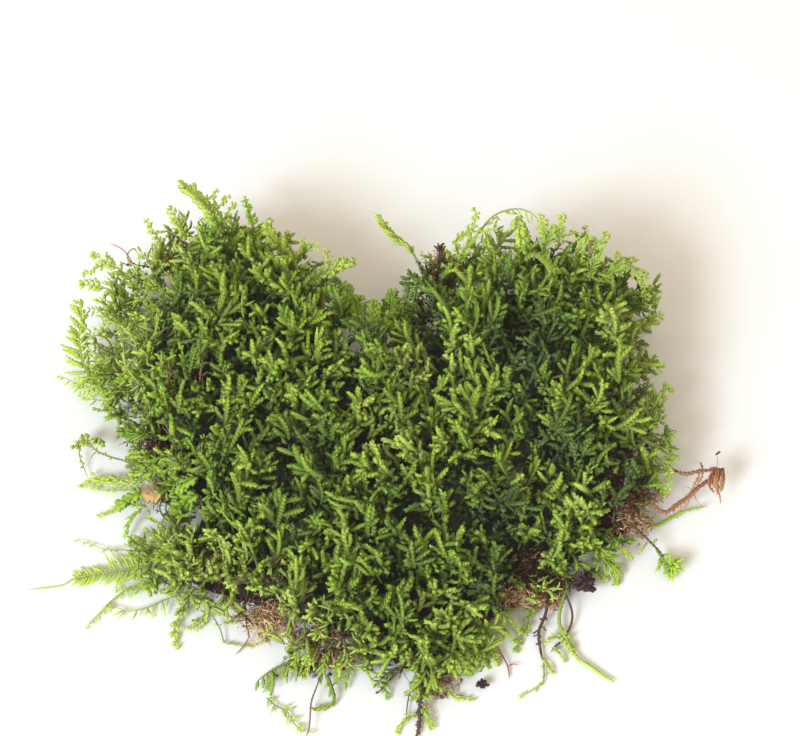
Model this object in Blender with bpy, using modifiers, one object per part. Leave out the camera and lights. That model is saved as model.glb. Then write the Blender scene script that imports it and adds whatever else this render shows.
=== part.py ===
"""Moss clump: a heart-shaped cushion of feather moss, lifted off with its dead brown underlayer.

Everything below is in millimetres until the meshes are made. The origin is on the flat underside,
at the middle of the clump's footprint. X runs to the right, Y away from the front point of the
heart, Z up. The living shoots are one body, because they have grown through each other. The dead
mat under them is another. Shoots, stems and bits that leave the clump are pieces of their own.
"""

import math

import bmesh
import bpy
import numpy as np
from mathutils import Matrix, Vector, geometry
from mathutils.bvhtree import BVHTree

MM = 0.001
GAP = 0.35  # left between pieces that touch
FINE_STEP = 0.25  # spacing of the points at which a route is tested
STEM_STEP = 1.0  # spacing of a plain stem's points
OUTLINE_STEP = 0.4  # spacing of the points that stand for an outline in plan
SPAN_POINTS = 12  # points to a span where a curve is drawn through given points
SEED = 7

# ---------------------------------------------------------------- driving dimensions

# Edge of the living cushion in plan, counter-clockwise from its right side: right lobe, notch,
# left lobe, left bay, left skirt, front point, front bay, right skirt.
CUSHION_EDGE = [
    (36.2, 0.0), (36.6, 5.0), (35.8, 10.5), (35.2, 16.0), (36.2, 21.0), (34.6, 25.2),
    (29.5, 27.6), (24.5, 29.6), (19.0, 30.8), (14.0, 30.2), (9.6, 27.8), (6.4, 25.2),
    (4.6, 21.8), (2.6, 18.2), (0.0, 18.6), (-4.0, 20.8), (-7.2, 24.2), (-11.2, 27.8),
    (-16.0, 31.0), (-21.0, 33.4), (-26.0, 33.8), (-30.4, 31.0), (-34.2, 26.4), (-36.6, 21.0),
    (-37.6, 15.0), (-36.8, 9.5), (-34.4, 5.0), (-32.4, 0.5), (-29.8, -2.8), (-26.4, -5.4),
    (-28.6, -8.6), (-30.4, -12.4), (-30.2, -16.4), (-26.6, -19.2), (-21.0, -20.4),
    (-15.5, -22.6), (-10.0, -25.8), (-4.0, -28.8), (1.5, -30.4), (6.5, -31.0), (11.0, -28.8),
    (14.0, -24.4), (17.0, -19.4), (21.0, -17.6), (25.4, -15.6), (29.4, -12.6), (33.2, -8.6),
    (35.6, -4.6),
]

CUSHION_UNDER = 3.0  # height of the cushion's underside, where the dead mat ends
CROWN_BASE = 11.0  # height of the shoot tips over the middle of the clump
# Swellings and hollows of the crown: x, y, radius, change of height.
CROWN_FORMS = [
    (-20.0, 15.0, 15.0, 5.0),  # left lobe
    (-22.0, 26.0, 8.0, 2.5),  # its back corner
    (20.0, 15.0, 14.0, 7.0),  # right lobe
    (30.0, 3.0, 12.0, 2.0),  # right flank
    (0.0, 2.0, 15.0, 2.0),  # middle
    (-27.0, -12.0, 9.0, -5.0),  # left skirt
    (4.0, -28.0, 11.0, -4.0),  # front point
    (27.0, -15.0, 9.0, -3.0),  # right skirt
    (20.5, 17.0, 3.6, -6.0),  # deep hollow in the right lobe
    (16.0, -5.0, 3.0, -4.0),  # hollow right of the middle
    (6.0, 17.0, 2.4, -4.5),  # hollow beside the notch
    (-24.0, 0.0, 3.0, -2.5),  # hollow in the left flank
    (8.0, -14.0, 2.6, -2.5),  # hollow above the front point
]
RIM_STEEPNESS_BACK = 3.5  # distance from the edge at which the crown reaches its height
RIM_STEEPNESS_FRONT = 8.5
RIM_SHARE_FRONT = 0.5  # height of the upper rim, as a share of the crown there
RIM_SHARE_BACK = 0.85
FRONT_UNTIL = -10.0  # the front's rim turns into the back's between these two values of Y
BACK_FROM = 20.0
CROWN_ROUNDING = 2.2  # exponent of the crown's fall to its edge

TUFT_SPACING = 1.62  # between neighbouring points of the cushion's surface
TUFT_DEPTH = 3.0  # from the tips of the tufts to the gaps between them
TUFT_LEAN = 1.05  # sideways lean of a tuft's tip
TUFT_MARGIN = 1.3  # distance that the lattice of tufts keeps from the edge
TIP_SCATTER = 0.45  # spread of the tips' heights
GAP_SCATTER = 0.35  # spread of the heights between them
LEAN_SCATTER = 0.45
LEAN_OUT = 0.9  # outward lean at the edge
LEAN_FADE = 5.0  # distance from the edge over which that lean fades
LOWEST_TIP = 2.6  # lowest tip and lowest gap above the cushion's underside
LOWEST_GAP = 0.9
RIM_SPACING = 1.75
RIM_TUFT = 1.7  # how far a tuft stands out of the rim
RIM_LOW_TUFT = 1.02  # and out of the rim's lowest row
RIM_BULGE = 0.9
RIM_UNDERCUT = 0.6
RIM_BELLY = 0.45  # height of the rim's widest row, as a share of the rim's height

# The dead mat: how far its edge stays inside the cushion's, and where it shows past it.
MAT_INSET = 2.4
MAT_TOP = 2.6
MAT_SPACING = 3.2
MAT_MARGIN = 2.24  # distance that its inner points keep from its edge
MAT_OUTLINE_STEP = 4.0
MAT_DROOP = (0.1, 0.6)  # least and greatest fall of its upper edge
MAT_SIDE = (0.9, 1.5)  # least and greatest height of the widest part of its side
MAT_FRAY = 0.7  # loose ends that stand out of its side
MAT_FRAY_SCATTER = 0.4
MAT_FLARE = 0.1
# Places where the dead mat comes out: x, y, radius, reach.
MAT_LEDGES = [
    (32.0, -9.5, 6.0, 3.6),  # right skirt
    (19.0, -18.5, 5.5, 3.4),  # front bay
    (-31.5, 1.0, 3.5, 2.4),  # left flank
    (-15.0, -22.0, 4.0, 2.6),  # left of the front point
    (9.0, -29.5, 4.0, 2.2),  # front point
]

# Feather shoots, root to tip. route: points (x, y, z). girth: stem thickness at the root.
# pinna: longest side branchlet. pitch: spacing of the branchlets. roll: turn of the feather about
# its stem, 0 lying flat. start, stop: share of the stem that carries branchlets.
# sides: "both", "left" or "right" of the direction of growth.
FEATHERS = {
    "shoot_back_left_tall": dict(
        route=[(-20.0, 28.5, 12.0), (-23.5, 31.5, 15.0), (-25.5, 33.7, 16.5), (-28.4, 37.35, 17.8)],
        girth=0.9, pinna=2.2, pitch=1.1, roll=25.0, stop=0.75, colour="fresh"),
    "shoot_left_upper_outer": dict(
        route=[(-34.0, 23.5, 9.5), (-38.0, 26.5, 9.8), (-40.0, 28.5, 10.0)],
        girth=0.8, pinna=1.7, pitch=1.0, colour="fresh"),
    "frond_left": dict(
        route=[(-36.5, 9.5, 4.0), (-39.5, 13.0, 4.5), (-41.0, 15.5, 5.0), (-41.3, 18.0, 6.0),
               (-41.6, 20.5, 7.0), (-42.0, 23.0, 8.0)],
        girth=0.7, pinna=2.8, pitch=1.1, roll=-15.0, start=0.1, stop=0.85, colour="fresh"),
    "frond_left_low": dict(
        route=[(-35.5, 9.0, 3.5), (-40.5, 12.0, 2.6), (-44.0, 14.5, 2.2)],
        girth=0.7, pinna=1.5, pitch=1.1, sides="left", colour="fresh"),
    "shoot_left_floor_middle": dict(
        route=[(-29.5, -5.0, 2.4), (-34.5, -5.0, 1.1), (-37.5, -6.5, 0.6)],
        girth=0.8, pinna=0.9, pitch=0.9, colour="fresh"),
    "shoot_left_floor_front": dict(
        route=[(-29.0, -12.6, 2.0), (-34.5, -12.0, 1.0), (-37.5, -11.0, 0.7), (-40.5, -9.8, 0.5)],
        girth=0.6, pinna=1.1, pitch=1.5, sides="left", colour="fresh"),
    "frond_front_left_long": dict(
        route=[(-27.5, -14.6, 2.5), (-32.5, -14.9, 1.5), (-37.0, -15.4, 0.9), (-40.0, -15.6, 0.6),
               (-42.0, -17.0, 0.45), (-46.2, -17.2, 0.4)],
        girth=0.7, pinna=2.5, pitch=1.15, start=0.12, stop=0.75, colour="fresh"),
    "frond_front_left_fork": dict(
        route=[(-30.5, -17.4, 1.6), (-33.5, -18.2, 1.0), (-36.0, -20.2, 0.6), (-38.5, -22.6, 0.5)],
        girth=0.7, pinna=1.2, pitch=1.2, sides="left", colour="fresh"),
    "frond_front_left_inner": dict(
        route=[(-26.0, -19.0, 1.8), (-29.0, -19.9, 1.0), (-32.0, -21.4, 0.7), (-34.0, -21.3, 0.6)],
        girth=0.6, pinna=2.2, pitch=1.5, sides="left", stop=0.9, colour="fresh"),
    "shoot_front_tuft": dict(
        route=[(-9.0, -27.0, 1.6), (-12.0, -28.3, 1.1), (-15.8, -29.6, 0.9)],
        girth=0.8, pinna=2.8, pitch=1.3, sides="both", colour="deep"),
    "stem_front_trailing": dict(
        route=[(-15.6, -31.6, 0.5), (-13.5, -33.2, 0.5), (-12.0, -34.2, 0.5), (-10.5, -35.8, 0.5),
               (-8.2, -36.6, 0.5)],
        girth=0.6, pinna=1.3, pitch=1.6, stop=0.6, colour="fresh"),
    "sprig_front": dict(
        route=[(-7.0, -28.6, 1.4), (-5.6, -31.2, 0.8), (-6.0, -32.8, 0.6), (-10.0, -33.8, 0.5)],
        girth=0.8, pinna=0.9, pitch=1.0, sides="right", colour="deep"),
    "stem_front_dark_left": dict(
        route=[(3.6, -28.0, 2.0), (1.6, -29.8, 1.0), (-0.2, -31.4, 0.5)],
        girth=0.8, pinna=1.8, pitch=1.2, sides="right", colour="dark"),
    "sprig_right_front": dict(
        route=[(27.0, -14.0, 3.5), (29.8, -15.4, 2.4), (31.6, -16.6, 1.6), (31.2, -18.4, 0.7)],
        girth=0.9, pinna=1.8, pitch=1.0, colour="fresh"),
    "stem_right_tuft": dict(
        route=[(32.0, -9.5, 5.0), (34.4, -11.0, 4.0), (35.6, -12.2, 3.2), (37.0, -13.6, 2.1),
               (38.2, -15.4, 1.1)],
        girth=0.8, pinna=2.4, pitch=0.85, start=0.55, stop=0.98, colour="fresh"),
    "frond_right_lobe_arch": dict(
        route=[(14.0, 27.0, 16.0), (15.0, 29.4, 18.2), (17.5, 30.6, 18.9), (20.5, 30.2, 18.4),
               (22.4, 28.2, 16.6)],
        girth=0.6, pinna=2.4, pitch=1.4, roll=80.0, sides="right", stop=0.9, colour="fresh"),
    "sprig_notch": dict(
        route=[(6.8, 22.0, 8.0), (4.6, 25.6, 11.4), (2.6, 28.4, 13.2), (0.0, 31.0, 15.0)],
        girth=0.7, pinna=2.0, pitch=1.05, roll=30.0, sides="left", start=0.45, colour="fresh"),
    "shoot_left_lobe_tall": dict(
        route=[(-17.0, 28.0, 12.0), (-18.0, 30.4, 15.0), (-18.6, 32.6, 16.5)],
        girth=0.8, pinna=1.6, pitch=0.95, roll=30.0, colour="deep"),
    "shoot_left_lobe_notch": dict(
        route=[(-11.5, 22.0, 11.0), (-7.6, 24.0, 13.0), (-4.2, 25.2, 14.0)],
        girth=0.7, pinna=1.0, pitch=1.0, colour="fresh"),
    "twig_dead_leaf_fan": dict(
        route=[(42.2, -2.6, 3.6), (44.0, -3.4, 2.6), (45.5, -4.9, 1.8)],
        girth=0.8, pinna=1.5, pitch=0.7, roll=20.0, colour="dead"),
}

# Plain shoots and stems: route, thickness at the root, colour. They taper to their tips.
STEMS = {
    "shoot_back_left_low": ([(-26.0, 29.4, 12.0), (-27.8, 31.2, 14.0), (-29.4, 33.0, 15.5)],
                            1.0, "fresh"),
    "shoot_red_tip": ([(-29.5, 27.4, 11.0), (-31.0, 29.5, 13.0), (-32.2, 31.8, 14.0)], 0.8, "fresh"),
    "stalk_red_left": ([(-34.0, 26.6, 9.5), (-35.6, 29.0, 10.6), (-37.8, 30.2, 11.0)], 0.35, "red"),
    "shoot_left_upper_middle": ([(-36.0, 23.0, 7.6), (-39.5, 24.6, 7.8), (-42.0, 25.8, 8.0)],
                                0.9, "fresh"),
    "stem_left_arch": ([(-37.0, 17.8, 6.0), (-38.8, 18.6, 7.6), (-40.6, 18.0, 7.2)], 0.35, "deep"),
    "stem_brown_hook": ([(-31.5, -0.8, 2.6), (-35.0, 0.5, 2.6), (-38.5, 2.5, 2.4), (-40.5, 4.2, 1.5),
                         (-41.2, 2.6, 0.7), (-40.2, -0.6, 0.4)], 0.5, "brown"),
    "shoot_left_floor_back": ([(-30.5, -2.4, 2.4), (-36.0, -2.2, 1.1), (-40.6, -2.2, 0.6)],
                              1.1, "fresh"),
    "shoot_front_left": ([(-25.0, -19.0, 1.6), (-25.6, -21.8, 0.8), (-27.0, -24.4, 0.5)],
                         0.8, "fresh"),
    "stem_front_left_loop": ([(-21.6, -20.6, 1.5), (-21.2, -23.2, 0.8), (-19.6, -24.8, 0.4),
                              (-17.0, -25.6, 0.4), (-14.4, -25.0, 0.6), (-12.8, -23.4, 1.5)],
                             0.45, "deep"),
    "stem_red_front_left": ([(-17.2, -22.2, 1.6), (-17.2, -24.2, 1.3), (-17.8, -26.2, 1.0),
                             (-18.9, -27.0, 0.4)], 0.45, "brown"),
    "stem_front_brown": ([(-7.6, -28.8, 1.8), (-8.4, -31.4, 1.4), (-9.0, -33.6, 1.45),
                          (-9.2, -35.6, 1.3), (-9.4, -37.3, 1.1)], 0.4, "brown"),
    "stem_front_dark_long": ([(5.6, -29.6, 1.6), (5.0, -33.0, 0.6), (5.2, -35.2, 0.5),
                              (4.6, -37.3, 0.5)], 0.7, "dark"),
    "stem_front_dark_thin": ([(3.8, -30.2, 1.4), (3.4, -33.8, 0.4), (3.2, -36.4, 0.3)], 0.35, "dark"),
    "shoot_front_tip": ([(7.5, -30.0, 1.6), (9.6, -32.0, 0.8), (12.0, -32.4, 0.5)], 0.9, "fresh"),
    "stalk_red_front": ([(14.2, -24.4, 1.4), (15.6, -26.6, 0.8), (16.6, -28.2, 0.4),
                         (16.6, -29.8, 0.3)], 0.4, "red"),
    "stem_front_right_olive": ([(20.0, -18.6, 1.8), (19.6, -20.6, 0.9), (18.4, -22.8, 0.4),
                                (17.2, -24.8, 0.4)], 0.5, "deep"),
    "stem_front_right_dark": ([(22.0, -18.2, 2.2), (21.4, -20.4, 1.0), (20.4, -24.0, 0.5),
                               (21.0, -29.0, 0.4), (19.8, -31.0, 0.4), (18.0, -32.0, 0.4)],
                              0.75, "dark"),
    "stem_front_right_curl": ([(25.2, -17.4, 2.5), (26.0, -20.4, 1.0), (25.4, -22.6, 0.5),
                               (23.2, -25.4, 0.4)], 0.5, "dark"),
    "shoot_front_right_bright": ([(23.6, -18.6, 1.8), (23.2, -21.6, 1.2), (24.6, -24.0, 1.5),
                                  (26.8, -27.2, 0.6), (30.0, -30.2, 0.5)], 0.9, "fresh"),
    "shoot_right_green": ([(33.4, -6.8, 4.6), (35.2, -8.4, 3.0), (37.6, -9.4, 1.6),
                           (40.8, -7.8, 1.0), (44.0, -6.4, 0.9)], 0.8, "deep"),
    "twig_dead_stalk": ([(34.4, -2.8, 5.0), (36.0, -4.6, 4.2), (38.2, -6.4, 2.9), (40.2, -5.0, 3.1),
                         (42.4, -2.4, 3.7), (44.6, -0.8, 4.2), (45.2, 0.4, 4.6)], 0.7, "dead"),
    "twig_dead_arm": ([(38.6, -1.4, 4.6), (41.0, -1.2, 4.6), (43.6, 0.2, 4.8)], 0.6, "dead"),
    "sprig_right_arch": ([(35.6, -2.0, 5.4), (37.2, -0.8, 6.2), (39.0, -2.2, 5.8),
                          (38.2, -4.0, 5.2)], 0.5, "fresh"),
    "shoot_right_edge_back": ([(34.6, 17.6, 8.0), (36.6, 18.8, 8.6), (38.2, 19.8, 9.0)],
                              0.9, "fresh"),
    "shoot_right_edge_middle": ([(35.4, 7.0, 5.4), (37.8, 8.4, 5.8), (39.4, 9.4, 6.0)],
                                0.9, "fresh"),
    "bit_brown_notch": ([(9.0, 22.8, 11.0), (8.4, 25.2, 13.4), (8.0, 27.0, 14.2)], 1.2, "brown"),
    "shoot_left_lobe_second": ([(-13.0, 25.0, 11.0), (-14.6, 27.6, 14.0), (-15.8, 29.8, 15.5)],
                               0.9, "fresh"),
    "stem_left_lobe_loop": ([(-12.0, 24.4, 11.0), (-11.0, 27.6, 13.4), (-8.8, 28.2, 13.8),
                             (-7.4, 27.2, 13.2)], 0.4, "brown"),
    "shoot_right_lobe_back_left": ([(12.6, 26.0, 15.0), (12.2, 28.2, 18.0), (12.4, 30.2, 19.4)],
                                   0.6, "fresh"),
    "shoot_right_lobe_back": ([(24.4, 26.0, 15.0), (24.8, 28.0, 17.4), (24.4, 29.6, 18.8)],
                              0.9, "fresh"),
    "stem_right_lobe_brown": ([(28.6, 24.0, 13.0), (28.4, 26.4, 15.4), (27.4, 28.8, 17.2)],
                              0.5, "brown"),
    "shoot_right_lobe_corner": ([(32.4, 22.6, 12.0), (33.8, 25.2, 13.6), (35.2, 26.8, 14.2)],
                                0.9, "fresh"),
}

BARK_CENTRE = (27.2, -18.4, 1.9)  # a spiky chunk of bark and humus below the right skirt
BARK_SIZE = (3.6, 2.4, 3.2)
BARK_ROUGHNESS = 0.3
CRUMB_CENTRE = (12.9, -30.4, 0.9)  # a dark crumb beside the front point
CRUMB_SIZE = (1.6, 1.3, 1.4)
CRUMB_ROUGHNESS = 0.2
LEAF_CENTRE = (-31.2, -5.8, 3.4)  # a dead leaf caught over the left bay
LEAF_LENGTH = 3.6
LEAF_WIDTH = 2.6
LEAF_THICKNESS = 0.3
LEAF_POINT = 1.7  # how fast the leaf narrows to its ends
LEAF_CUP = 1.6  # rise of its sides and of its ends, as it has curled
LEAF_ARCH = 1.2
LEAF_TURN = (14, -18, 35)  # degrees about X, Y and Z

STEM_TAPER = 0.55  # thickness that a plain stem loses by its tip
STEM_TAPER_POWER = 1.5
FEATHER_TAPER = 0.75
THINNEST = 0.12  # least radius of a feather's stem
BRANCHLET_SIDEWAYS = 0.8  # a branchlet's direction: parts to the side and along the stem
BRANCHLET_FORWARD = 0.6
BRANCHLET_RADIUS = 0.3
LOWEST_BRANCHLET = 0.25

COLOURS = {  # base colour, roughness
    "green": ((0.12, 0.27, 0.02), 0.6),
    "fresh": ((0.26, 0.42, 0.04), 0.6),
    "deep": ((0.12, 0.2, 0.03), 0.65),
    "dark": ((0.035, 0.045, 0.02), 0.7),
    "red": ((0.3, 0.06, 0.045), 0.6),
    "brown": ((0.12, 0.06, 0.03), 0.85),
    "dead": ((0.28, 0.13, 0.06), 0.85),
    "humus": ((0.05, 0.025, 0.018), 0.95),
    "straw": ((0.45, 0.27, 0.1), 0.8),
}


# ---------------------------------------------------------------- curves and fields


def through(points, per_span, closed=False):
    """Points of the Catmull-Rom curve through the given points, per_span of them to a span."""
    given = np.asarray(points, float)
    if closed:
        padded = np.vstack([given[-1:], given, given[:2]])
    else:
        padded = np.vstack([2 * given[0] - given[1], given, 2 * given[-1] - given[-2]])
    t = np.linspace(0, 1, per_span, endpoint=False)[:, None]
    spans = [
        0.5 * (2 * b + (c - a) * t + (2 * a - 5 * b + 4 * c - d) * t**2
               + (3 * b - a - 3 * c + d) * t**3)
        for a, b, c, d in zip(padded, padded[1:], padded[2:], padded[3:])
    ]
    return np.vstack(spans if closed else spans + [given[-1:]])


def evenly(points, spacing, closed=False):
    """The polyline's points set at an even spacing, as near to the given one as its length allows."""
    line = np.vstack([points, points[:1]]) if closed else np.asarray(points, float)
    along = np.concatenate([[0], np.cumsum(np.linalg.norm(np.diff(line, axis=0), axis=1))])
    count = max(2, round(along[-1] / spacing))
    stops = np.linspace(0, along[-1], count + 1)[: count if closed else count + 1]
    return np.column_stack([np.interp(stops, along, line[:, k]) for k in range(line.shape[1])])


class Edge:
    """A closed outline in plan, and the distance of any point from it."""

    def __init__(self, points):
        self.line = evenly(through(points, SPAN_POINTS, closed=True), OUTLINE_STEP, closed=True)

    def depth(self, xy):
        """Distance inside the outline, negative outside."""
        xy = np.asarray(xy, float)
        away = np.sqrt(((xy[:, None] - self.line[None]) ** 2).sum(2)).min(1)
        return np.where(self.holds(xy), away, -away)

    def holds(self, xy):
        """True where a point lies inside, by counting the outline's crossings to its right."""
        a = self.line
        b = np.roll(a, -1, axis=0)
        x, y = xy[:, :1], xy[:, 1:]
        spans = (a[:, 1] > y) != (b[:, 1] > y)
        at = a[:, 0] + (y - a[:, 1]) * (b[:, 0] - a[:, 0]) / (b[:, 1] - a[:, 1] + 1e-12)
        return (spans & (x < at)).sum(1) % 2 == 1

    def outward(self, xy):
        """Unit directions from the points to the outside, by the slope of the depth."""
        step = 0.3
        slope = np.column_stack([
            self.depth(xy + np.array([step, 0])) - self.depth(xy - np.array([step, 0])),
            self.depth(xy + np.array([0, step])) - self.depth(xy - np.array([0, step])),
        ])
        return -slope / np.maximum(np.linalg.norm(slope, axis=1, keepdims=True), 1e-6)


def bumps(xy, forms):
    """Sum of round swellings, each given as x, y, radius and height."""
    total = np.zeros(len(xy))
    for x, y, radius, height in forms:
        total += height * np.exp(-((xy - (x, y)) ** 2).sum(1) / radius**2)
    return total


def crown(xy, depth):
    """Height of the shoot tips at the points, falling towards the edge."""
    full = CROWN_BASE + bumps(xy, CROWN_FORMS)
    back = np.clip((xy[:, 1] - FRONT_UNTIL) / (BACK_FROM - FRONT_UNTIL), 0, 1)
    reach = RIM_STEEPNESS_FRONT + (RIM_STEEPNESS_BACK - RIM_STEEPNESS_FRONT) * back
    inward = np.clip(depth / reach, 0, 1)
    share = RIM_SHARE_FRONT + (RIM_SHARE_BACK - RIM_SHARE_FRONT) * back
    return full * (share + (1 - share) * (1 - (1 - inward) ** CROWN_ROUNDING))


# ---------------------------------------------------------------- objects


def clear_scene():
    for obj in list(bpy.data.objects):
        bpy.data.objects.remove(obj, do_unlink=True)


def material(name):
    colour, roughness = COLOURS[name]
    mat = bpy.data.materials.get(name)
    if mat is None:
        mat = bpy.data.materials.new(name)
        mat.use_nodes = True
        surface = mat.node_tree.nodes["Principled BSDF"]
        surface.inputs["Base Color"].default_value = (*colour, 1)
        surface.inputs["Roughness"].default_value = roughness
        surface.inputs["Metallic"].default_value = 0.0
    return mat


class Clump:
    """The collection that holds the pieces, and the surfaces that later pieces keep clear of."""

    def __init__(self, name):
        self.collection = bpy.data.collections.new(name)
        bpy.context.scene.collection.children.link(self.collection)
        self.surfaces = []

    def add(self, obj, colour):
        self.collection.objects.link(obj)
        obj.data.materials.append(material(colour))
        bpy.context.view_layer.update()
        evaluated = obj.evaluated_get(bpy.context.evaluated_depsgraph_get())
        shape = bmesh.new()
        mesh = bpy.data.meshes.new_from_object(evaluated)
        shape.from_mesh(mesh)
        shape.transform(obj.matrix_world)
        shape.transform(Matrix.Scale(1 / MM, 4))
        self.surfaces.append(BVHTree.FromBMesh(shape))
        shape.free()
        bpy.data.meshes.remove(mesh)
        return obj

    def clear_at(self, point, clearance):
        """True where the point, in millimetres, is outside every surface by the clearance."""
        spot = Vector(point)
        for tree in self.surfaces:
            nearest = tree.find_nearest(spot)
            if nearest[3] < clearance or inside(tree, spot):
                return False
        return True


def inside(tree, spot):
    """True where a ray from the spot crosses the closed surface an odd number of times."""
    upwards = Vector((0.0013, 0.0007, 1.0))  # leans a little, so that it runs along no upright edge
    crossings = 0
    hit = tree.ray_cast(spot, upwards)[0]
    while hit is not None:
        crossings += 1
        hit = tree.ray_cast(hit + upwards * 0.0001, upwards)[0]
    return crossings % 2 == 1


def object_of(name, shape):
    """An object that holds the bmesh, whose points are in millimetres."""
    bmesh.ops.recalc_face_normals(shape, faces=shape.faces)
    mesh = bpy.data.meshes.new(name)
    shape.transform(Matrix.Scale(MM, 4))
    shape.to_mesh(mesh)
    shape.free()
    return bpy.data.objects.new(name, mesh)


# ---------------------------------------------------------------- the two mats


def hexagon_points(edge, spacing, margin):
    """Plan points on a triangular lattice inside the edge, and which of them carry a tuft."""
    low, high = edge.line.min(0) / spacing, edge.line.max(0) / spacing
    row_share = math.sqrt(0.75)  # rows of a triangular lattice stand this much closer than its points
    rows = np.arange(math.floor(low[1] / row_share), math.ceil(high[1] / row_share) + 1)
    columns = np.arange(math.floor(low[0] - rows[-1] / 2), math.ceil(high[0] - rows[0] / 2) + 1)
    i, j = (grid.ravel() for grid in np.meshgrid(columns, rows))
    xy = spacing * np.column_stack([i + 0.5 * j, row_share * j])
    keep = edge.depth(xy) > margin
    return xy[keep], ((i - j) % 3 == 0)[keep]


def closed_mat(name, plan, heights, rim_rows, ring_size, underside):
    """A closed body: a triangulated top sheet, rows of rim points below it and a flat underside.

    The first ring_size points of plan are the edge, in order. rim_rows are the further rings, each
    an array of ring_size points, from the top down. underside is the height of the last one.
    """
    shape = bmesh.new()
    ring = list(range(ring_size))
    sides = [(k, (k + 1) % ring_size) for k in ring]
    flat, _, faces, *_ = geometry.delaunay_2d_cdt(
        [Vector(p) for p in plan], sides, [ring], 1, 1e-6)
    top = [shape.verts.new((p.x, p.y, h)) for p, h in zip(flat, heights)]
    for face in faces:
        shape.faces.new([top[k] for k in face])
    upper = top[:ring_size]
    for row in rim_rows:
        lower = [shape.verts.new(p) for p in row]
        for a, b in sides:
            shape.faces.new((upper[a], lower[a], lower[b]))
            shape.faces.new((upper[a], lower[b], upper[b]))
        upper = lower
    base, _, faces, *_ = geometry.delaunay_2d_cdt(
        [Vector(p[:2]) for p in rim_rows[-1]], sides, [ring], 1, 1e-6)
    for face in faces:
        shape.faces.new([upper[k] for k in reversed(face)])
    for vertex in upper:
        vertex.co.z = underside
    return object_of(name, shape)


def green_cushion(clump, edge, chance):
    """The living shoots: a spiky cushion whose tufts lean at random, and outwards at its rim."""
    ring = evenly(edge.line, RIM_SPACING, closed=True)
    inner, tufted = hexagon_points(edge, TUFT_SPACING, TUFT_MARGIN)
    plan = np.vstack([ring, inner])
    depth = np.maximum(edge.depth(plan), 0)
    tips = crown(plan, depth)
    rim = len(ring)
    is_tip = np.concatenate([np.arange(rim) % 3 == 0, tufted])
    away = edge.outward(plan)
    pull = LEAN_OUT * np.exp(-depth / LEAN_FADE)[:, None]
    lean = TUFT_LEAN * (pull * away + chance.normal(0, LEAN_SCATTER, plan.shape))
    lean *= np.minimum(1, TUFT_LEAN / np.maximum(np.linalg.norm(lean, axis=1), 1e-6))[:, None]
    heights = np.where(is_tip, tips + chance.normal(0, TIP_SCATTER, len(plan)),
                       tips - TUFT_DEPTH + chance.normal(0, GAP_SCATTER, len(plan)))
    heights = np.maximum(heights, CUSHION_UNDER + np.where(is_tip, LOWEST_TIP, LOWEST_GAP))
    plan[is_tip] += lean[is_tip]
    places = np.arange(rim)
    outward = away[:rim]
    middle_out = np.where(places % 3 == 1, RIM_TUFT, 0) + RIM_BULGE
    middle_z = CUSHION_UNDER + RIM_BELLY * (heights[:rim] - CUSHION_UNDER)
    middle = np.column_stack([ring + outward * middle_out[:, None], middle_z])
    low_out = np.where(places % 3 == 2, RIM_LOW_TUFT, -RIM_UNDERCUT)
    low = np.column_stack([ring + outward * low_out[:, None], np.full(rim, CUSHION_UNDER)])
    cushion = closed_mat("green_cushion", plan, heights, [middle, low], rim, CUSHION_UNDER)
    return clump.add(cushion, "green")


def brown_underlayer(clump, edge, chance):
    """The dead mat: a thin slab of brown stems and humus, frayed along its side, cut flat below."""
    reach = bumps(edge.line, MAT_LEDGES)
    line = edge.line + edge.outward(edge.line) * (reach - MAT_INSET)[:, None]
    ring = evenly(line, RIM_SPACING, closed=True)
    side = Edge(evenly(line, MAT_OUTLINE_STEP, closed=True))
    inner, _ = hexagon_points(side, MAT_SPACING, MAT_MARGIN)
    plan = np.vstack([ring, inner])
    heights = np.full(len(plan), MAT_TOP)
    count = len(ring)
    heights[:count] -= chance.uniform(*MAT_DROOP, count)
    places = np.arange(count)
    outward = side.outward(ring)
    middle_out = np.where(places % 2 == 0, MAT_FRAY, MAT_FLARE)
    middle_out += chance.uniform(0, MAT_FRAY_SCATTER, count)
    middle_z = chance.uniform(*MAT_SIDE, count)
    middle = np.column_stack([ring + outward * middle_out[:, None], middle_z])
    low = np.column_stack([ring + outward * MAT_FLARE, np.zeros(count)])
    mat = closed_mat("brown_underlayer", plan, heights, [middle, low], count, 0.0)
    return clump.add(mat, "brown")


# ---------------------------------------------------------------- shoots, stems and bits


def free_run(clump, route, radius, spacing):
    """Points along the smoothed route, over its longest stretch clear of everything made so far."""
    line = evenly(through(route, SPAN_POINTS), FINE_STEP)
    best, run = [], []
    for point in line:
        run = run + [point] if clump.clear_at(point, radius + GAP) else []
        best = max(best, run, key=len)
    return evenly(np.array(best), spacing)


def frames(line, roll):
    """Directions along the line, to the feather's left and out of its upper side, at each point."""
    along = np.gradient(line, axis=0)
    along /= np.linalg.norm(along, axis=1, keepdims=True)
    left = np.cross((0, 0, 1.0), along)
    left /= np.maximum(np.linalg.norm(left, axis=1, keepdims=True), 1e-6)
    over = np.cross(along, left)
    c, s = math.cos(math.radians(roll)), math.sin(math.radians(roll))
    return along, left * c + over * s, over * c - left * s


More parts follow.
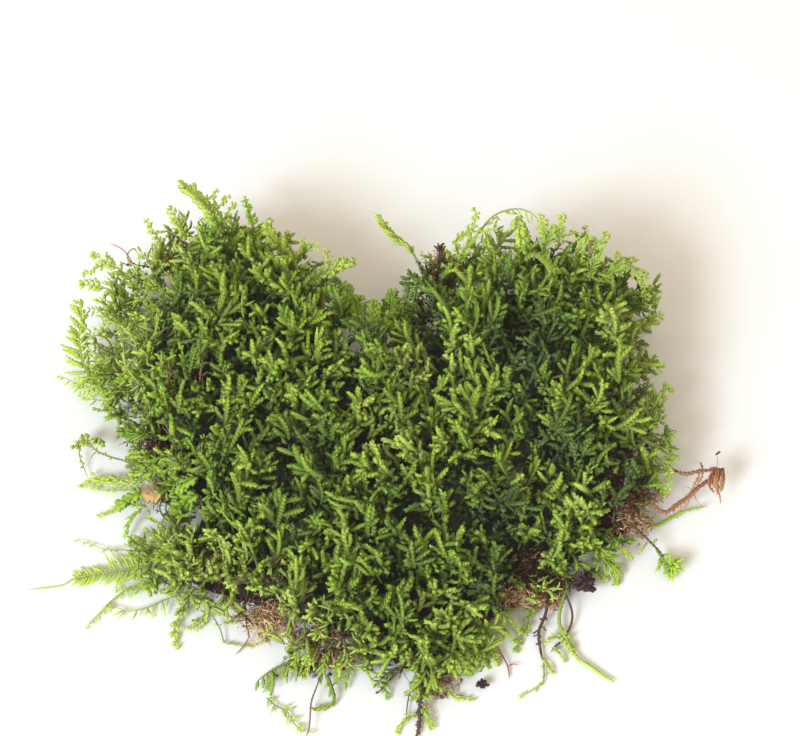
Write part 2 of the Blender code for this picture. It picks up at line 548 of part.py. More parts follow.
def feather(
    clump, name, route, girth, pinna, pitch, colour, roll=0.0, start=0.0, stop=1.0, sides="both"
):
    """A stem with a row of pointed branchlets along its sides, as one loft of diamond sections.

    Each second section has its side corners drawn out and forward to a branchlet's tip. The
    branchlets are longest before the middle of the stem.
    """
    line = free_run(clump, route, girth / 2, pitch / 2)
    count = len(line)
    share = np.linspace(0, 1, count)
    radius = np.maximum(girth / 2 * (1 - FEATHER_TAPER * share), THINNEST)
    along, left, over = frames(line, roll)
    length = pinna * np.sin(np.pi * (0.18 + 0.74 * share)) ** 0.7
    shape = bmesh.new()
    rows = []
    for k in range(1, count - 1):
        corners = [line[k] + over[k] * radius[k], None, line[k] - over[k] * radius[k], None]
        for corner, way in ((1, 1), (3, -1)):
            side = way * left[k]
            reach = BRANCHLET_SIDEWAYS * side + BRANCHLET_FORWARD * along[k]
            tip = line[k] + reach * length[k]
            tip[2] = max(tip[2], LOWEST_BRANCHLET)
            middle = (line[k] + tip) / 2
            named = sides == "both" or (sides == "left") == (way == 1)
            wanted = named and k % 2 == 1 and start <= share[k] <= stop
            free = wanted and all(clump.clear_at(p, BRANCHLET_RADIUS + GAP) for p in (tip, middle))
            corners[corner] = tip if free else line[k] + side * radius[k]
        rows.append([shape.verts.new(p) for p in corners])
    root, tip = shape.verts.new(line[0]), shape.verts.new(line[-1])
    for a, b in ((k, (k + 1) % 4) for k in range(4)):
        shape.faces.new((root, rows[0][a], rows[0][b]))
        shape.faces.new((tip, rows[-1][b], rows[-1][a]))
        peak, other = (a, b) if a % 2 else (b, a)
        for place, (lower, upper) in enumerate(zip(rows, rows[1:])):
            if place % 2 == 0:
                shape.faces.new((lower[peak], lower[other], upper[other]))
                shape.faces.new((lower[peak], upper[other], upper[peak]))
            else:
                shape.faces.new((upper[peak], lower[peak], lower[other]))
                shape.faces.new((upper[peak], lower[other], upper[other]))
    obj = object_of(name, shape)
    return clump.add(obj, colour)


def stem(clump, name, route, girth, colour):
    """A plain shoot or stalk: a tapering wire along its route."""
    line = free_run(clump, route, girth / 2, STEM_STEP)
    curve = bpy.data.curves.new(name, "CURVE")
    curve.dimensions = "3D"
    curve.bevel_depth = girth / 2 * MM
    curve.bevel_resolution = 0
    curve.use_fill_caps = True
    spline = curve.splines.new("POLY")
    spline.points.add(len(line) - 1)
    taper = 1 - STEM_TAPER * np.linspace(0, 1, len(line)) ** STEM_TAPER_POWER
    for point, place, thickness in zip(spline.points, line, taper):
        place[2] = max(place[2], girth / 2 * thickness)
        point.co = (*(place * MM), 1)
        point.radius = thickness
    obj = bpy.data.objects.new(name, curve)
    return clump.add(obj, colour)


def crumb(clump, name, centre, size, roughness, chance, colour):
    """A jagged lump: an icosphere whose points are pushed in and out, with a flat foot."""
    shape = bmesh.new()
    bmesh.ops.create_icosphere(shape, subdivisions=2, radius=0.5)
    for vertex in shape.verts:
        vertex.co *= 1 + chance.uniform(-roughness, roughness)
        vertex.co = Vector(centre) + Vector([c * s for c, s in zip(vertex.co, size)])
        vertex.co.z = max(vertex.co.z, 0.0)
    return clump.add(object_of(name, shape), colour)


def dead_leaf(clump):
    """A curled scrap of leaf: a pointed grid bent along its length and given its thickness."""
    shape = bmesh.new()
    bmesh.ops.create_grid(shape, x_segments=6, y_segments=4, size=0.5)
    for vertex in shape.verts:
        u, v = vertex.co.x, vertex.co.y
        width = LEAF_WIDTH * math.sqrt(max(1 - (LEAF_POINT * u) ** 2, 0.04))
        vertex.co = Vector((u * LEAF_LENGTH, v * width, LEAF_CUP * v * v + LEAF_ARCH * u * u))
    leaf = object_of("dead_leaf", shape)
    leaf.location = Vector(LEAF_CENTRE) * MM
    leaf.rotation_euler = [math.radians(angle) for angle in LEAF_TURN]
    wall = leaf.modifiers.new("thickness", "SOLIDIFY")
    wall.thickness = LEAF_THICKNESS * MM
    wall.offset = 0
    return clump.add(leaf, "straw")


def main():
    clear_scene()
    clump = Clump("moss_clump")
    chance = np.random.default_rng(SEED)
    edge = Edge(CUSHION_EDGE)
    green_cushion(clump, edge, chance)
    brown_underlayer(clump, edge, chance)
    crumb(clump, "bark_chunk", BARK_CENTRE, BARK_SIZE, BARK_ROUGHNESS, chance, "humus")
    crumb(clump, "dark_crumb", CRUMB_CENTRE, CRUMB_SIZE, CRUMB_ROUGHNESS, chance, "humus")
    dead_leaf(clump)
    for name, (route, girth, colour) in STEMS.items():
        stem(clump, name, route, girth, colour)
    for name, sizes in FEATHERS.items():
        feather(clump, name, **sizes)


main()
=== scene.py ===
"""Looks of a heart-shaped clump of feather moss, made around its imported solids.

Lengths are in millimetres until a mesh is made, and X, Y and Z are those of the solids: the origin
on the flat underside, X to the right, Y away from the point of the heart, Z up. A shoot is an axis
with two rows of branchlets. Axis and branchlet are both leafy tubes: rings round a curved line,
where every other corner is drawn out and forward to the tip of a leaf.
"""

from __future__ import annotations

import logging
import math
from collections.abc import Callable
from dataclasses import dataclass, field
from enum import Enum
from typing import Self

import bpy
import numpy as np
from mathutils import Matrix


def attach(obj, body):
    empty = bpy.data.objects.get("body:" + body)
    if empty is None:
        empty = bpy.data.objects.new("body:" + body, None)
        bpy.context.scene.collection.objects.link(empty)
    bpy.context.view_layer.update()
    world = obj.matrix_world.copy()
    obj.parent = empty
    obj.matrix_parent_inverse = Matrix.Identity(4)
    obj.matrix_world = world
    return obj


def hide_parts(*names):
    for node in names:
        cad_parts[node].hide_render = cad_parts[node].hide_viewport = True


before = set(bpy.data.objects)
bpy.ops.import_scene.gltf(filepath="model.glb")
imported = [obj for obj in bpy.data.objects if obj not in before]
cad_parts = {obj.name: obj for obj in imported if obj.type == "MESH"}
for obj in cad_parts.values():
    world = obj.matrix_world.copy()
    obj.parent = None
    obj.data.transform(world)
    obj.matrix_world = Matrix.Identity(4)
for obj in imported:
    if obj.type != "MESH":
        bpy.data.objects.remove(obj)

MM = 0.001
UV_NAME = "OFBake"
BODY = "root"
UP = np.array([0.0, 0.0, 1.0])
FLOOR_CLEARANCE = 0.06  # least height of a shoot's middle line above its own radius

Array = np.ndarray
Point = tuple[float, float, float]
Colour = tuple[float, float, float]
Patch = tuple[float, float, float, float]  # x, y, radius and strength of a round patch

log = logging.getLogger("moss_clump")


# ---------------------------------------------------------------- curves and fields


def unit(vectors: Array) -> Array:
    """The vectors along the last axis, each divided by its length."""
    return vectors / np.maximum(np.linalg.norm(vectors, axis=-1, keepdims=True), 1e-9)


def through(points: Array, per_span: int = 12, closed: bool = False) -> Array:
    """Points of the Catmull-Rom curve through the given points.

    Args:
        points: the given points, one a row.
        per_span: points to make between two given ones.
        closed: whether the curve returns to its start.

    Returns:
        The curve's points, one a row.
    """
    given = np.asarray(points, float)
    if closed:
        padded = np.vstack([given[-1:], given, given[:2]])
    else:
        padded = np.vstack([2 * given[0] - given[1], given, 2 * given[-1] - given[-2]])
    a, b, c, d = (padded[k : len(padded) - 3 + k, None] for k in range(4))
    t = np.linspace(0, 1, per_span, endpoint=False)[None, :, None]
    spans = 0.5 * (2 * b + (c - a) * t + (2 * a - 5 * b + 4 * c - d) * t**2
                   + (3 * b - a - 3 * c + d) * t**3)
    curve = spans.reshape(-1, given.shape[1])
    return curve if closed else np.vstack([curve, given[-1:]])


def evenly(points: Array, count: int, closed: bool = False) -> Array:
    """The polyline set at count points, an equal distance apart."""
    line = np.vstack([points, points[:1]]) if closed else np.asarray(points, float)
    along = np.concatenate([[0], np.cumsum(np.linalg.norm(np.diff(line, axis=0), axis=1))])
    stops = np.linspace(0, along[-1], count, endpoint=not closed)
    return np.column_stack([np.interp(stops, along, line[:, k]) for k in range(line.shape[1])])


def length_of(line: Array) -> float:
    """Length of a polyline."""
    return float(np.linalg.norm(np.diff(line, axis=0), axis=1).sum())


def swellings(xy: Array, patches: tuple[Patch, ...]) -> Array:
    """Sum of the patches' strengths, each falling off as a bell round its place."""
    places = np.array(patches)
    away = ((xy[:, None] - places[None, :, :2]) ** 2).sum(-1)
    return (places[:, 3] * np.exp(-away / places[:, 2] ** 2)).sum(-1)


def ripple(points: Array, size: float, seed: int) -> Array:
    """Smooth unevenness from -1 to 1: the mean of eight sine waves that run in chance directions.

    Args:
        points: where it is wanted, one point a row, in two or three dimensions.
        size: the distance over which it changes.
        seed: picks the waves.

    Returns:
        One value for each point.
    """
    chance = np.random.default_rng(seed)
    waves = unit(chance.normal(size=(8, points.shape[-1])))
    waves *= chance.uniform(0.6, 1.6, (8, 1)) * math.pi / size
    phase = chance.uniform(0, 2 * math.pi, 8)
    return np.sin(points @ waves.T + phase).mean(-1) * 1.8


@dataclass(frozen=True)
class Outline:
    """A closed outline in plan, with the distance of any point from it."""

    points: tuple[tuple[float, float], ...]
    step: float = 0.5

    @property
    def line(self) -> Array:
        """The outline's points, evenly spaced."""
        curve = through(np.array(self.points), closed=True)
        return evenly(curve, round(length_of(curve) / self.step), closed=True)

    def ring(self, spacing: float) -> Array:
        """Points round the outline, about the given distance apart."""
        line = self.line
        return evenly(line, round(length_of(line) / spacing), closed=True)

    def depth(self, xy: Array) -> Array:
        """Distance of the points inside the outline, negative for those outside."""
        a = self.line
        b = np.roll(a, -1, axis=0)
        away = np.sqrt(((xy[:, None] - a[None]) ** 2).sum(-1)).min(1)
        x, y = xy[:, :1], xy[:, 1:2]
        spans = (a[:, 1] > y) != (b[:, 1] > y)
        at = a[:, 0] + (y - a[:, 1]) * (b[:, 0] - a[:, 0]) / (b[:, 1] - a[:, 1] + 1e-12)
        holds = (spans & (x < at)).sum(1) % 2 == 1
        return np.where(holds, away, -away)

    def outward(self, xy: Array) -> Array:
        """Unit directions in plan from the points to the outside: down the slope of the depth."""
        step = 0.35
        right, back = np.array([step, 0.0]), np.array([0.0, step])
        slope = np.column_stack([
            self.depth(xy + right) - self.depth(xy - right),
            self.depth(xy + back) - self.depth(xy - back),
        ])
        return -unit(slope)


CUSHION_EDGE = Outline((
    (36.2, 0), (36.6, 5), (35.8, 10.5), (35.2, 16), (36.2, 21), (34.6, 25.2), (29.5, 27.6),
    (24.5, 29.6), (19, 30.8), (14, 30.2), (9.6, 27.8), (6.4, 25.2), (4.6, 21.8), (2.6, 18.2),
    (0, 18.6), (-4, 20.8), (-7.2, 24.2), (-11.2, 27.8), (-16, 31), (-21, 33.4), (-26, 33.8),
    (-30.4, 31), (-34.2, 26.4), (-36.6, 21), (-37.6, 15), (-36.8, 9.5), (-34.4, 5), (-32.4, 0.5),
    (-29.8, -2.8), (-26.4, -5.4), (-28.6, -8.6), (-30.4, -12.4), (-30.2, -16.4), (-26.6, -19.2),
    (-21, -20.4), (-15.5, -22.6), (-10, -25.8), (-4, -28.8), (1.5, -30.4), (6.5, -31), (11, -28.8),
    (14, -24.4), (17, -19.4), (21, -17.6), (25.4, -15.6), (29.4, -12.6), (33.2, -8.6), (35.6, -4.6),
))


@dataclass(frozen=True)
class Crown:
    """Height of the shoots' tips over the plan, as in the solid cushion."""

    base: float = 11.0
    forms: tuple[Patch, ...] = (
        (-20, 15, 15, 5),  # left lobe
        (-22, 26, 8, 2.5),  # its back corner
        (20, 15, 14, 7),  # right lobe
        (30, 3, 12, 2),  # right flank
        (0, 2, 15, 2),  # middle
        (-27, -12, 9, -5),  # left skirt
        (4, -28, 11, -4),  # front point
        (27, -15, 9, -3),  # right skirt
        (20.5, 17, 3.6, -6),  # deep hollow in the right lobe
        (16, -5, 3, -4),  # hollow right of the middle
        (6, 17, 2.4, -4.5),  # hollow beside the notch
        (-24, 0, 3, -2.5),  # hollow in the left flank
        (8, -14, 2.6, -2.5),  # hollow above the front point
    )
    front_until: float = -10.0
    back_from: float = 20.0
    reach_front: float = 8.5
    reach_back: float = 3.5
    share_front: float = 0.5
    share_back: float = 0.85
    rounding: float = 2.2

    def height(self, xy: Array, depth: Array) -> Array:
        """Height at the points: the full height, less a rounded fall over the rim's reach."""
        full = self.base + swellings(xy, self.forms)
        back = np.clip((xy[:, 1] - self.front_until) / (self.back_from - self.front_until), 0, 1)
        reach = self.reach_front + (self.reach_back - self.reach_front) * back
        share = self.share_front + (self.share_back - self.share_front) * back
        inward = np.clip(depth / reach, 0, 1)
        return full * (share + (1 - share) * (1 - (1 - inward) ** self.rounding))


CROWN = Crown()


# ---------------------------------------------------------------- meshes


@dataclass
class Skin:
    """Faces gathered for one piece, with the two values that its finish is read by.

    Each corner carries its age, from 0 at an old root to 1 at a young tip, and its tone, which
    picks one colouring of the finish. They are the piece's UV coordinates.
    """

    points: list[Array] = field(default_factory=list)
    corners: list[Array] = field(default_factory=list)
    sizes: list[Array] = field(default_factory=list)
    coords: list[Array] = field(default_factory=list)
    count: int = 0

    def add(self, points: Array, faces: list[tuple[Array, Array]]) -> None:
        """Takes in points and faces.

        Args:
            points: one point a row.
            faces: pairs of an array of point numbers, one face a row, and an array of the corners'
                ages and tones in the same order.
        """
        for numbers, coords in faces:
            self.corners.append((numbers + self.count).reshape(-1))
            self.sizes.append(np.full(len(numbers), numbers.shape[1]))
            self.coords.append(coords.reshape(-1, 2))
        self.points.append(points.reshape(-1, 3))
        self.count += len(self.points[-1])

    @property
    def triangles(self) -> int:
        """How many triangles the faces make."""
        return int(sum((sizes - 2).sum() for sizes in self.sizes))

    def object(self, name: str, finish: Finish, smooth: bool = True) -> bpy.types.Object:
        """The gathered faces as an object that wears the finish."""
        mesh = bpy.data.meshes.new(name)
        points = np.concatenate(self.points) * MM
        corners = np.concatenate(self.corners).astype(np.int32)
        sizes = np.concatenate(self.sizes)
        starts = np.concatenate([[0], np.cumsum(sizes)[:-1]]).astype(np.int32)
        mesh.vertices.add(len(points))
        mesh.vertices.foreach_set("co", points.astype(np.float32).ravel())
        mesh.loops.add(len(corners))
        mesh.loops.foreach_set("vertex_index", corners)
        mesh.polygons.add(len(sizes))
        mesh.polygons.foreach_set("loop_start", starts)
        mesh.polygons.foreach_set("use_smooth", np.full(len(sizes), smooth))
        layer = mesh.uv_layers.new(name=UV_NAME)
        layer.uv.foreach_set("vector", np.concatenate(self.coords).astype(np.float32).ravel())
        mesh.update(calc_edges=True)
        mesh.materials.append(finish.material())
        obj = bpy.data.objects.new(name, mesh)
        bpy.context.scene.collection.objects.link(obj)
        return obj

    def piece(
        self, name: str, finish: Finish, slot: str, *nodes: str, smooth: bool = True
    ) -> None:
        """Makes a piece of the clump of the gathered faces.

        Args:
            name: of the piece.
            finish: what it wears.
            slot: the finish's slot in the library, not used.
            *nodes: the solids that it stands for.
            smooth: whether its shading runs over the edges.
        """
        piece = self.object(name, finish, smooth)
        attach(piece, BODY)
        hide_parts(*nodes)
        log.info("%s: %d triangles", piece.name, self.triangles)


@dataclass(frozen=True)
class Leafing:
    """How the small leaves stand round a shoot."""

    sectors: int = 6
    step: float = 0.38  # from one ring of leaves to the next
    out: float = 0.42  # how far a leaf's tip stands out, as a share of the shoot's radius
    inset: float = 0.2
    forward: float = 0.95  # how far it reaches forward, in ring steps
    brighter: float = 0.1  # painted light and shade: how much younger, and so lighter, a leaf's tip is drawn than its foot, which is drawn darker
    point: float = 0.42  # share of a branchlet's length from which it narrows
    blunt: float = 2.6  # high for a round end, near 1 for a drawn-out one


BRANCHLET = Leafing(sectors=5, step=0.27, out=0.95, inset=0.1, forward=1.5, brighter=0.07)
FINE = Leafing(step=0.3, out=0.75, inset=0.1, forward=1.3, brighter=0.16)
SHADED = Leafing(sectors=5, step=0.4, out=0.8, inset=0.1, forward=1.3, brighter=0.12)
BARE = Leafing(sectors=5, step=0.7, out=0.0, inset=0.0, forward=0.0, brighter=0.0)
SCALY = Leafing(sectors=5, step=0.3, out=0.6, inset=0.25, forward=0.8, brighter=0.2)
LEAFLET = Leafing(
    sectors=5, step=0.5, out=0.0, inset=0.0, forward=0.0, brighter=0.0, point=0.25, blunt=1.3)
FIBRE = Leafing(sectors=3, step=0.75, out=0.0, inset=0.0, forward=0.0, brighter=0.0)
SPRIG = Leafing(sectors=4, step=0.6, out=0.4, inset=0.1, forward=0.8, brighter=0.1)
PINNA = Leafing(
    sectors=5, step=0.3, out=0.6, inset=0.1, forward=1.2, brighter=0.14, point=0.15, blunt=1.5)
FRAY = Leafing(
    sectors=4, step=0.34, out=0.9, inset=0.25, forward=1.0, brighter=0.25, point=0.1, blunt=1.4)
ROOT = Leafing(sectors=4, step=1.1, out=0.0, inset=0.0, forward=0.0, brighter=0.0)
CRUMB = Leafing(sectors=5, out=0.15, inset=0.15, forward=0.0)

TONE_STEP = 0.0008  # change of tone from one sector to the next, which gives each face a width


def leafy_tubes(
    skin: Skin, lines: Array, radius: Array, ages: Array, tones: Array, side: Array,
    leafing: Leafing,
) -> None:
    """Adds tubes round curved lines, with leaves, all of one count of rings.

    A ring's corner lies at its middle plus the radius times the turned side direction. Where ring
    number plus sector number is even, the corner moves out by leafing.out and forward by
    leafing.forward ring steps. Elsewhere it moves in. Both ends close in a point.

    Args:
        skin: takes the faces.
        lines: middle lines, (tubes, rings + 2, 3), the first and last being the end points.
        radius: (tubes, rings).
        ages: (tubes, rings + 2).
        tones: (tubes,).
        side: a direction across each line from which its sectors are counted, (tubes, 3).
        leafing: the leaves.
    """
    tubes, stops, _ = lines.shape
    rings, sectors = stops - 2, leafing.sectors
    along = unit(np.gradient(lines, axis=1))[:, 1:-1]
    left = unit(side[:, None] - (side[:, None] * along).sum(-1, keepdims=True) * along)
    over = np.cross(along, left)
    angle = 2 * math.pi * np.arange(sectors) / sectors
    spoke = (np.cos(angle)[:, None] * left[:, :, None] + np.sin(angle)[:, None] * over[:, :, None])
    leaf = (np.arange(rings)[:, None] + np.arange(sectors)) % 2 == 0
    reach = np.where(leaf, 1 + leafing.out, 1 - leafing.inset)
    spacing = np.linalg.norm(np.diff(lines, axis=1), axis=-1).mean(1)[:, None, None]
    forward = np.where(leaf, leafing.forward, 0.0) * spacing
    ring_points = (lines[:, 1:-1, None] + radius[:, :, None, None] * reach[..., None] * spoke
                   + forward[..., None] * along[:, :, None])
    points = np.concatenate(
        [ring_points.reshape(tubes, -1, 3), lines[:, :1], lines[:, -1:]], axis=1)

    # Painted light and shade: leaf tips are read as younger and so lighter, the corners between the
    # leaves as older and so darker.
    age = ages[:, 1:-1, None] + np.where(leaf, leafing.brighter, -leafing.brighter / 2)
    age = np.concatenate([age.reshape(tubes, -1), ages[:, :1], ages[:, -1:]], axis=1)
    root, tip = rings * sectors, rings * sectors + 1
    sector = np.arange(sectors)
    nearby = (sector + 1) % sectors
    ring = np.arange(rings - 1)[:, None] * sectors
    quads = np.stack(
        [ring + sector, ring + nearby, ring + sectors + nearby, ring + sectors + sector], -1)
    quads = quads.reshape(-1, 4)
    turns = np.tile(np.stack([sector, sector + 1, sector + 1, sector], -1), (rings - 1, 1))
    low = np.stack([np.full(sectors, root), nearby, sector], -1)
    low_turns = np.stack([sector + 0.5, sector + 1, sector], -1)
    last = (rings - 1) * sectors
    high = np.stack([np.full(sectors, tip), last + sector, last + nearby], -1)
    high_turns = np.stack([sector + 0.5, sector, sector + 1], -1)
    offset = (np.arange(tubes) * points.shape[1])[:, None, None]
    faces = []
    caps, cap_turns = np.vstack([low, high]), np.vstack([low_turns, high_turns])
    for numbers, around in ((quads, turns), (caps, cap_turns)):
        tone = tones[:, None, None] + around[None] * TONE_STEP
        coords = np.stack([age[:, numbers], np.broadcast_to(tone, (tubes, *numbers.shape))], -1)
        coords = np.clip(coords, 0.004, 0.996)
        faces.append(((numbers[None] + offset).reshape(-1, numbers.shape[1]), coords))
    skin.add(points, faces)


def bud(t: Array, point: float = 0.5, blunt: float = 2.6) -> Array:
    """Outline of a leafy tube: its radius as a share of the full one.

    It rises from its foot and, from the point on, closes as (1 - part to the blunt power) ** 0.7.

    Args:
        t: shares of the tube's length.
        point: share from which it narrows.
        blunt: high for a round end, near 1 for a drawn-out one.
    """
    foot = 0.7 + 0.3 * np.clip(t / 0.4, 0, 1)
    end = np.clip((t - point) / (1 - point), 0, 1)
    return foot * (1 - end**blunt) ** 0.7


def rest_on_floor(lines: Array, radius: Array) -> Array:
    """The lines, lifted where they would pass below the floor that the clump lies on."""
    lifted = lines.copy()
    lifted[..., 2] = np.maximum(lifted[..., 2], radius + FLOOR_CLEARANCE)
    return lifted


class Batch:
    """Things made together: a dataclass of arrays with one entry for each thing."""

    def kept(self, keep: Array) -> Self:
        """The things for which keep is true."""
        return type(self)(*(getattr(self, name)[keep] for name in self.__dataclass_fields__))

    @classmethod
    def joined(cls, groups: list[Self]) -> Self:
        """Several groups as one."""
        names = cls.__dataclass_fields__
        return cls(*(np.concatenate([getattr(g, name) for g in groups]) for name in names))


@dataclass
class Branchlets(Batch):
    """Leafy branchlets made together: where each starts, where it goes and what it looks like."""

    foot: Array
    heading: Array
    bend: Array
    length: Array
    radius: Array
    age_foot: Array
    age_tip: Array
    tone: Array
    side: Array

    def grow(self, skin: Skin, leafing: Leafing, least: int = 3, most: int = 14) -> None:
        """Adds each branchlet with as many rings as its length calls for.

        A branchlet's direction is its heading plus its bend times the share of the length, made a
        unit vector, and its line is the running sum of that direction.
        """
        rings = np.clip(np.round(self.length / leafing.step).astype(int) - 1, least, most)
        for count in range(least, most + 1):
            pick = np.flatnonzero(rings == count)
            if len(pick) == 0:
                continue
            t = np.linspace(0, 1, count + 2)
            middle = (t[:-1] + t[1:]) / 2
            steps = unit(self.heading[pick, None] + self.bend[pick, None] * middle[None, :, None])
            steps *= (self.length[pick] / (count + 1))[:, None, None]
            line = np.concatenate([np.zeros((len(pick), 1, 3)), np.cumsum(steps, axis=1)], axis=1)
            line += self.foot[pick, None]
            radius = self.radius[pick, None] * bud(t[1:-1], leafing.point, leafing.blunt)
            line = rest_on_floor(line, self.radius[pick, None] * 0.8)
            ages = self.age_foot[pick, None] + (self.age_tip - self.age_foot)[pick, None] * t
            leafy_tubes(skin, line, radius, ages, self.tone[pick], self.side[pick], leafing)


# ---------------------------------------------------------------- finishes


Socket = bpy.types.NodeSocket
Stops = tuple[tuple[float, Colour], ...]  # positions along a ramp and their colours


class Nodes:
    """A material's nodes, added and linked in short calls."""

    def __init__(self, name: str) -> None:
        """Makes an empty material of that name, with an output node."""
        self.material = bpy.data.materials.new(name)
        self.material.use_nodes = True
        self.tree = self.material.node_tree
        self.tree.nodes.clear()
        self.output = self.tree.nodes.new("ShaderNodeOutputMaterial")

    def add(
        self, kind: str, links: dict[str | int, object] | None = None, **settings: object
    ) -> bpy.types.Node:
        """Adds a node.

        Args:
            kind: the node's type, without the word ShaderNode.
            links: for a socket, by name or number, the socket that feeds it or its own value.
            **settings: the node's properties.

        Returns:
            The node.
        """
        node = self.tree.nodes.new("ShaderNode" + kind)
        for name, value in settings.items():
            setattr(node, name, value)
        for name, value in (links or {}).items():
            if isinstance(value, bpy.types.NodeSocket):
                self.tree.links.new(value, node.inputs[name])
            else:
                node.inputs[name].default_value = value
        return node

    def ramp(self, factor: Socket, stops: Stops) -> Socket:
        """Colours read along a value, from stops of a position and a colour."""
        node = self.add("ValToRGB", {0: factor})
        elements = node.color_ramp.elements
        elements[0].position, elements[1].position = stops[0][0], stops[-1][0]
        for position, _ in stops[1:-1]:
            elements.new(position)
        for element, (_, colour) in zip(elements, stops):
            element.color = (*colour, 1)
        return node.outputs["Color"]

    def mix(self, factor: object, a: object, b: object, blend: str = "MIX") -> Socket:
        """Two colours mixed by a factor."""
        links = {0: factor, 6: a, 7: b}
        return self.add("Mix", links, data_type="RGBA", blend_type=blend).outputs[2]

    def math(self, operation: str, a: object, b: object) -> Socket:
        """The result of an operation on two numbers."""
        return self.add("Math", {0: a, 1: b}, operation=operation).outputs[0]

    def streaks(self, place: Socket, scale: Point, detail: float) -> Socket:
        """Noise read at the place times the scale."""
        scaled = self.add("Mapping", {"Vector": place, "Scale": scale}).outputs[0]
        noise = self.add("TexNoise", {"Vector": scaled, "Scale": 1.0, "Detail": detail})
        return noise.outputs["Fac"]

    def ranged(self, value: Socket, start: float, end: float, low: float, high: float) -> Socket:
        """The value, moved from the range start to end into the range low to high."""
        return self.add("MapRange", {0: value, 1: start, 2: end, 3: low, 4: high}).outputs[0]

    def shaded(self, colour: Socket, shade: Socket) -> Socket:
        """The colour times the shade."""
        grey = self.add("CombineColor", {k: shade for k in range(3)}).outputs[0]
        return self.mix(1.0, colour, grey, "MULTIPLY")

    def surface(
        self, body: bpy.types.Node, colour: Socket | None = None, glow: float = 0.0
    ) -> bpy.types.Material:
        """Puts the body shader on the output.

        Args:
            body: the shader's node.
            colour: of the light that shines through.
            glow: share of that light, none at 0.

        Returns:
            The material.
        """
        shader = body.outputs[0]
        if glow:
            behind = self.add("BsdfTranslucent", {"Color": colour}).outputs[0]
            shader = self.add("MixShader", {0: glow, 1: shader, 2: behind}).outputs[0]
        self.tree.links.new(shader, self.output.inputs["Surface"])
        return self.material


class Finish:
    """A look that pieces share. Its material is made once."""

    name: str

    @property
    def title(self) -> str:
        """The material's name, which differs from those that come with the solids."""
        return self.name + "_look"

    def material(self) -> bpy.types.Material:
        """The finish's material, new or the one already made."""
        return bpy.data.materials.get(self.title) or self.make()

    def make(self) -> bpy.types.Material:
        """Makes the material."""
        raise NotImplementedError


@dataclass(frozen=True)
class GrownFinish(Finish):
    """Living or dead growth, coloured by its age along the shoot and by its tone.

    Two rows of colours are read by tone, one for old wood and one for young tips, and mixed by
    age. A fine mottle is laid over them, in the same two values, so that it stays on the shoot.
    """

    name: str
    old: Stops
    young: Stops
    ageing: tuple[tuple[float, float], ...] = ((0.0, 0.0), (0.4, 0.22), (0.75, 0.75), (1.0, 1.0))
    mottle: float = 0.22
    rough: tuple[float, float] = (0.42, 0.7)
    specular: float = 0.42
    glow: float = 0.25  # share of the light that shines through
    specks: float = 0.0  # strength of the painted glints: pale specks that stand in for light glinting on wet leaf tips
    speck_colour: Colour = (0.62, 0.68, 0.6)
    mottle_scale: Point = (14.0, 310.0, 1.0)
    speck_scale: Point = (34.0, 700.0, 1.0)

    def make(self) -> bpy.types.Material:
        """Makes the material."""
        nodes = Nodes(self.title)
        place = nodes.add("UVMap", uv_map=UV_NAME).outputs["UV"]
        parts = nodes.add("SeparateXYZ", {0: place})
        age, tone = parts.outputs["X"], parts.outputs["Y"]
        share = nodes.ramp(age, tuple((at, (v, v, v)) for at, v in self.ageing))
        colour = nodes.mix(share, nodes.ramp(tone, self.old), nodes.ramp(tone, self.young))
        mottle = nodes.streaks(place, self.mottle_scale, 2.0)
        shade = nodes.ranged(mottle, 0.3, 0.7, 1 - self.mottle, 1 + self.mottle)
        colour = nodes.shaded(colour, shade)
        # Painted glints: pale specks mixed into the colour where light would glint on wet leaf
        # tips.
        if self.specks:
            glint_dots = nodes.streaks(place, self.speck_scale, 0.0)
            glint = nodes.ranged(glint_dots, 0.7, 0.76, 0.0, self.specks)
            colour = nodes.mix(glint, colour, (*self.speck_colour, 1))
        body = nodes.add("BsdfPrincipled", {
            "Base Color": colour, "Roughness": nodes.ranged(mottle, 0.3, 0.7, *self.rough),
            "Specular IOR Level": self.specular})
        return nodes.surface(body, colour, self.glow)


LIVING = GrownFinish(
    name="living_moss",
    old=((0.0, (0.04, 0.055, 0.03)), (0.12, (0.045, 0.07, 0.02)), (0.45, (0.1, 0.15, 0.018)),
         (0.7, (0.21, 0.3, 0.035)), (0.86, (0.26, 0.33, 0.06)), (0.93, (0.24, 0.15, 0.07)),
         (1.0, (0.08, 0.045, 0.03))),
    young=((0.0, (0.24, 0.33, 0.15)), (0.12, (0.17, 0.29, 0.036)), (0.45, (0.46, 0.68, 0.05)),
           (0.7, (0.7, 0.87, 0.13)), (0.86, (0.75, 0.86, 0.22)), (0.93, (0.5, 0.34, 0.16)),
           (1.0, (0.24, 0.13, 0.08))),
    ageing=((0.0, 0.0), (0.35, 0.2), (0.7, 0.62), (1.0, 1.0)),
    mottle=0.1, glow=0.5, specks=0.45,
)
DEAD = GrownFinish(
    name="dead_growth",
    old=((0.0, (0.02, 0.011, 0.008)), (0.35, (0.08, 0.035, 0.018)), (0.7, (0.26, 0.12, 0.055)),
         (1.0, (0.7, 0.42, 0.24))),
    young=((0.0, (0.06, 0.028, 0.018)), (0.35, (0.2, 0.09, 0.04)), (0.7, (0.52, 0.27, 0.12)),
           (1.0, (0.95, 0.68, 0.45))),
    rough=(0.55, 0.85), specular=0.3, glow=0.15,
)
TWIG = GrownFinish(
    name="dry_twig",
    old=((0.0, (0.1, 0.035, 0.018)), (1.0, (0.36, 0.15, 0.065))),
    young=((0.0, (0.3, 0.1, 0.045)), (1.0, (0.78, 0.44, 0.21))),
    rough=(0.6, 0.9), specular=0.3, glow=0.2,
)
RED = GrownFinish(
    name="red_stalk",
    old=((0.0, (0.16, 0.03, 0.02)), (1.0, (0.3, 0.07, 0.05))),
    young=((0.0, (0.42, 0.1, 0.08)), (1.0, (0.6, 0.26, 0.22))),
    rough=(0.4, 0.6), glow=0.1,
)


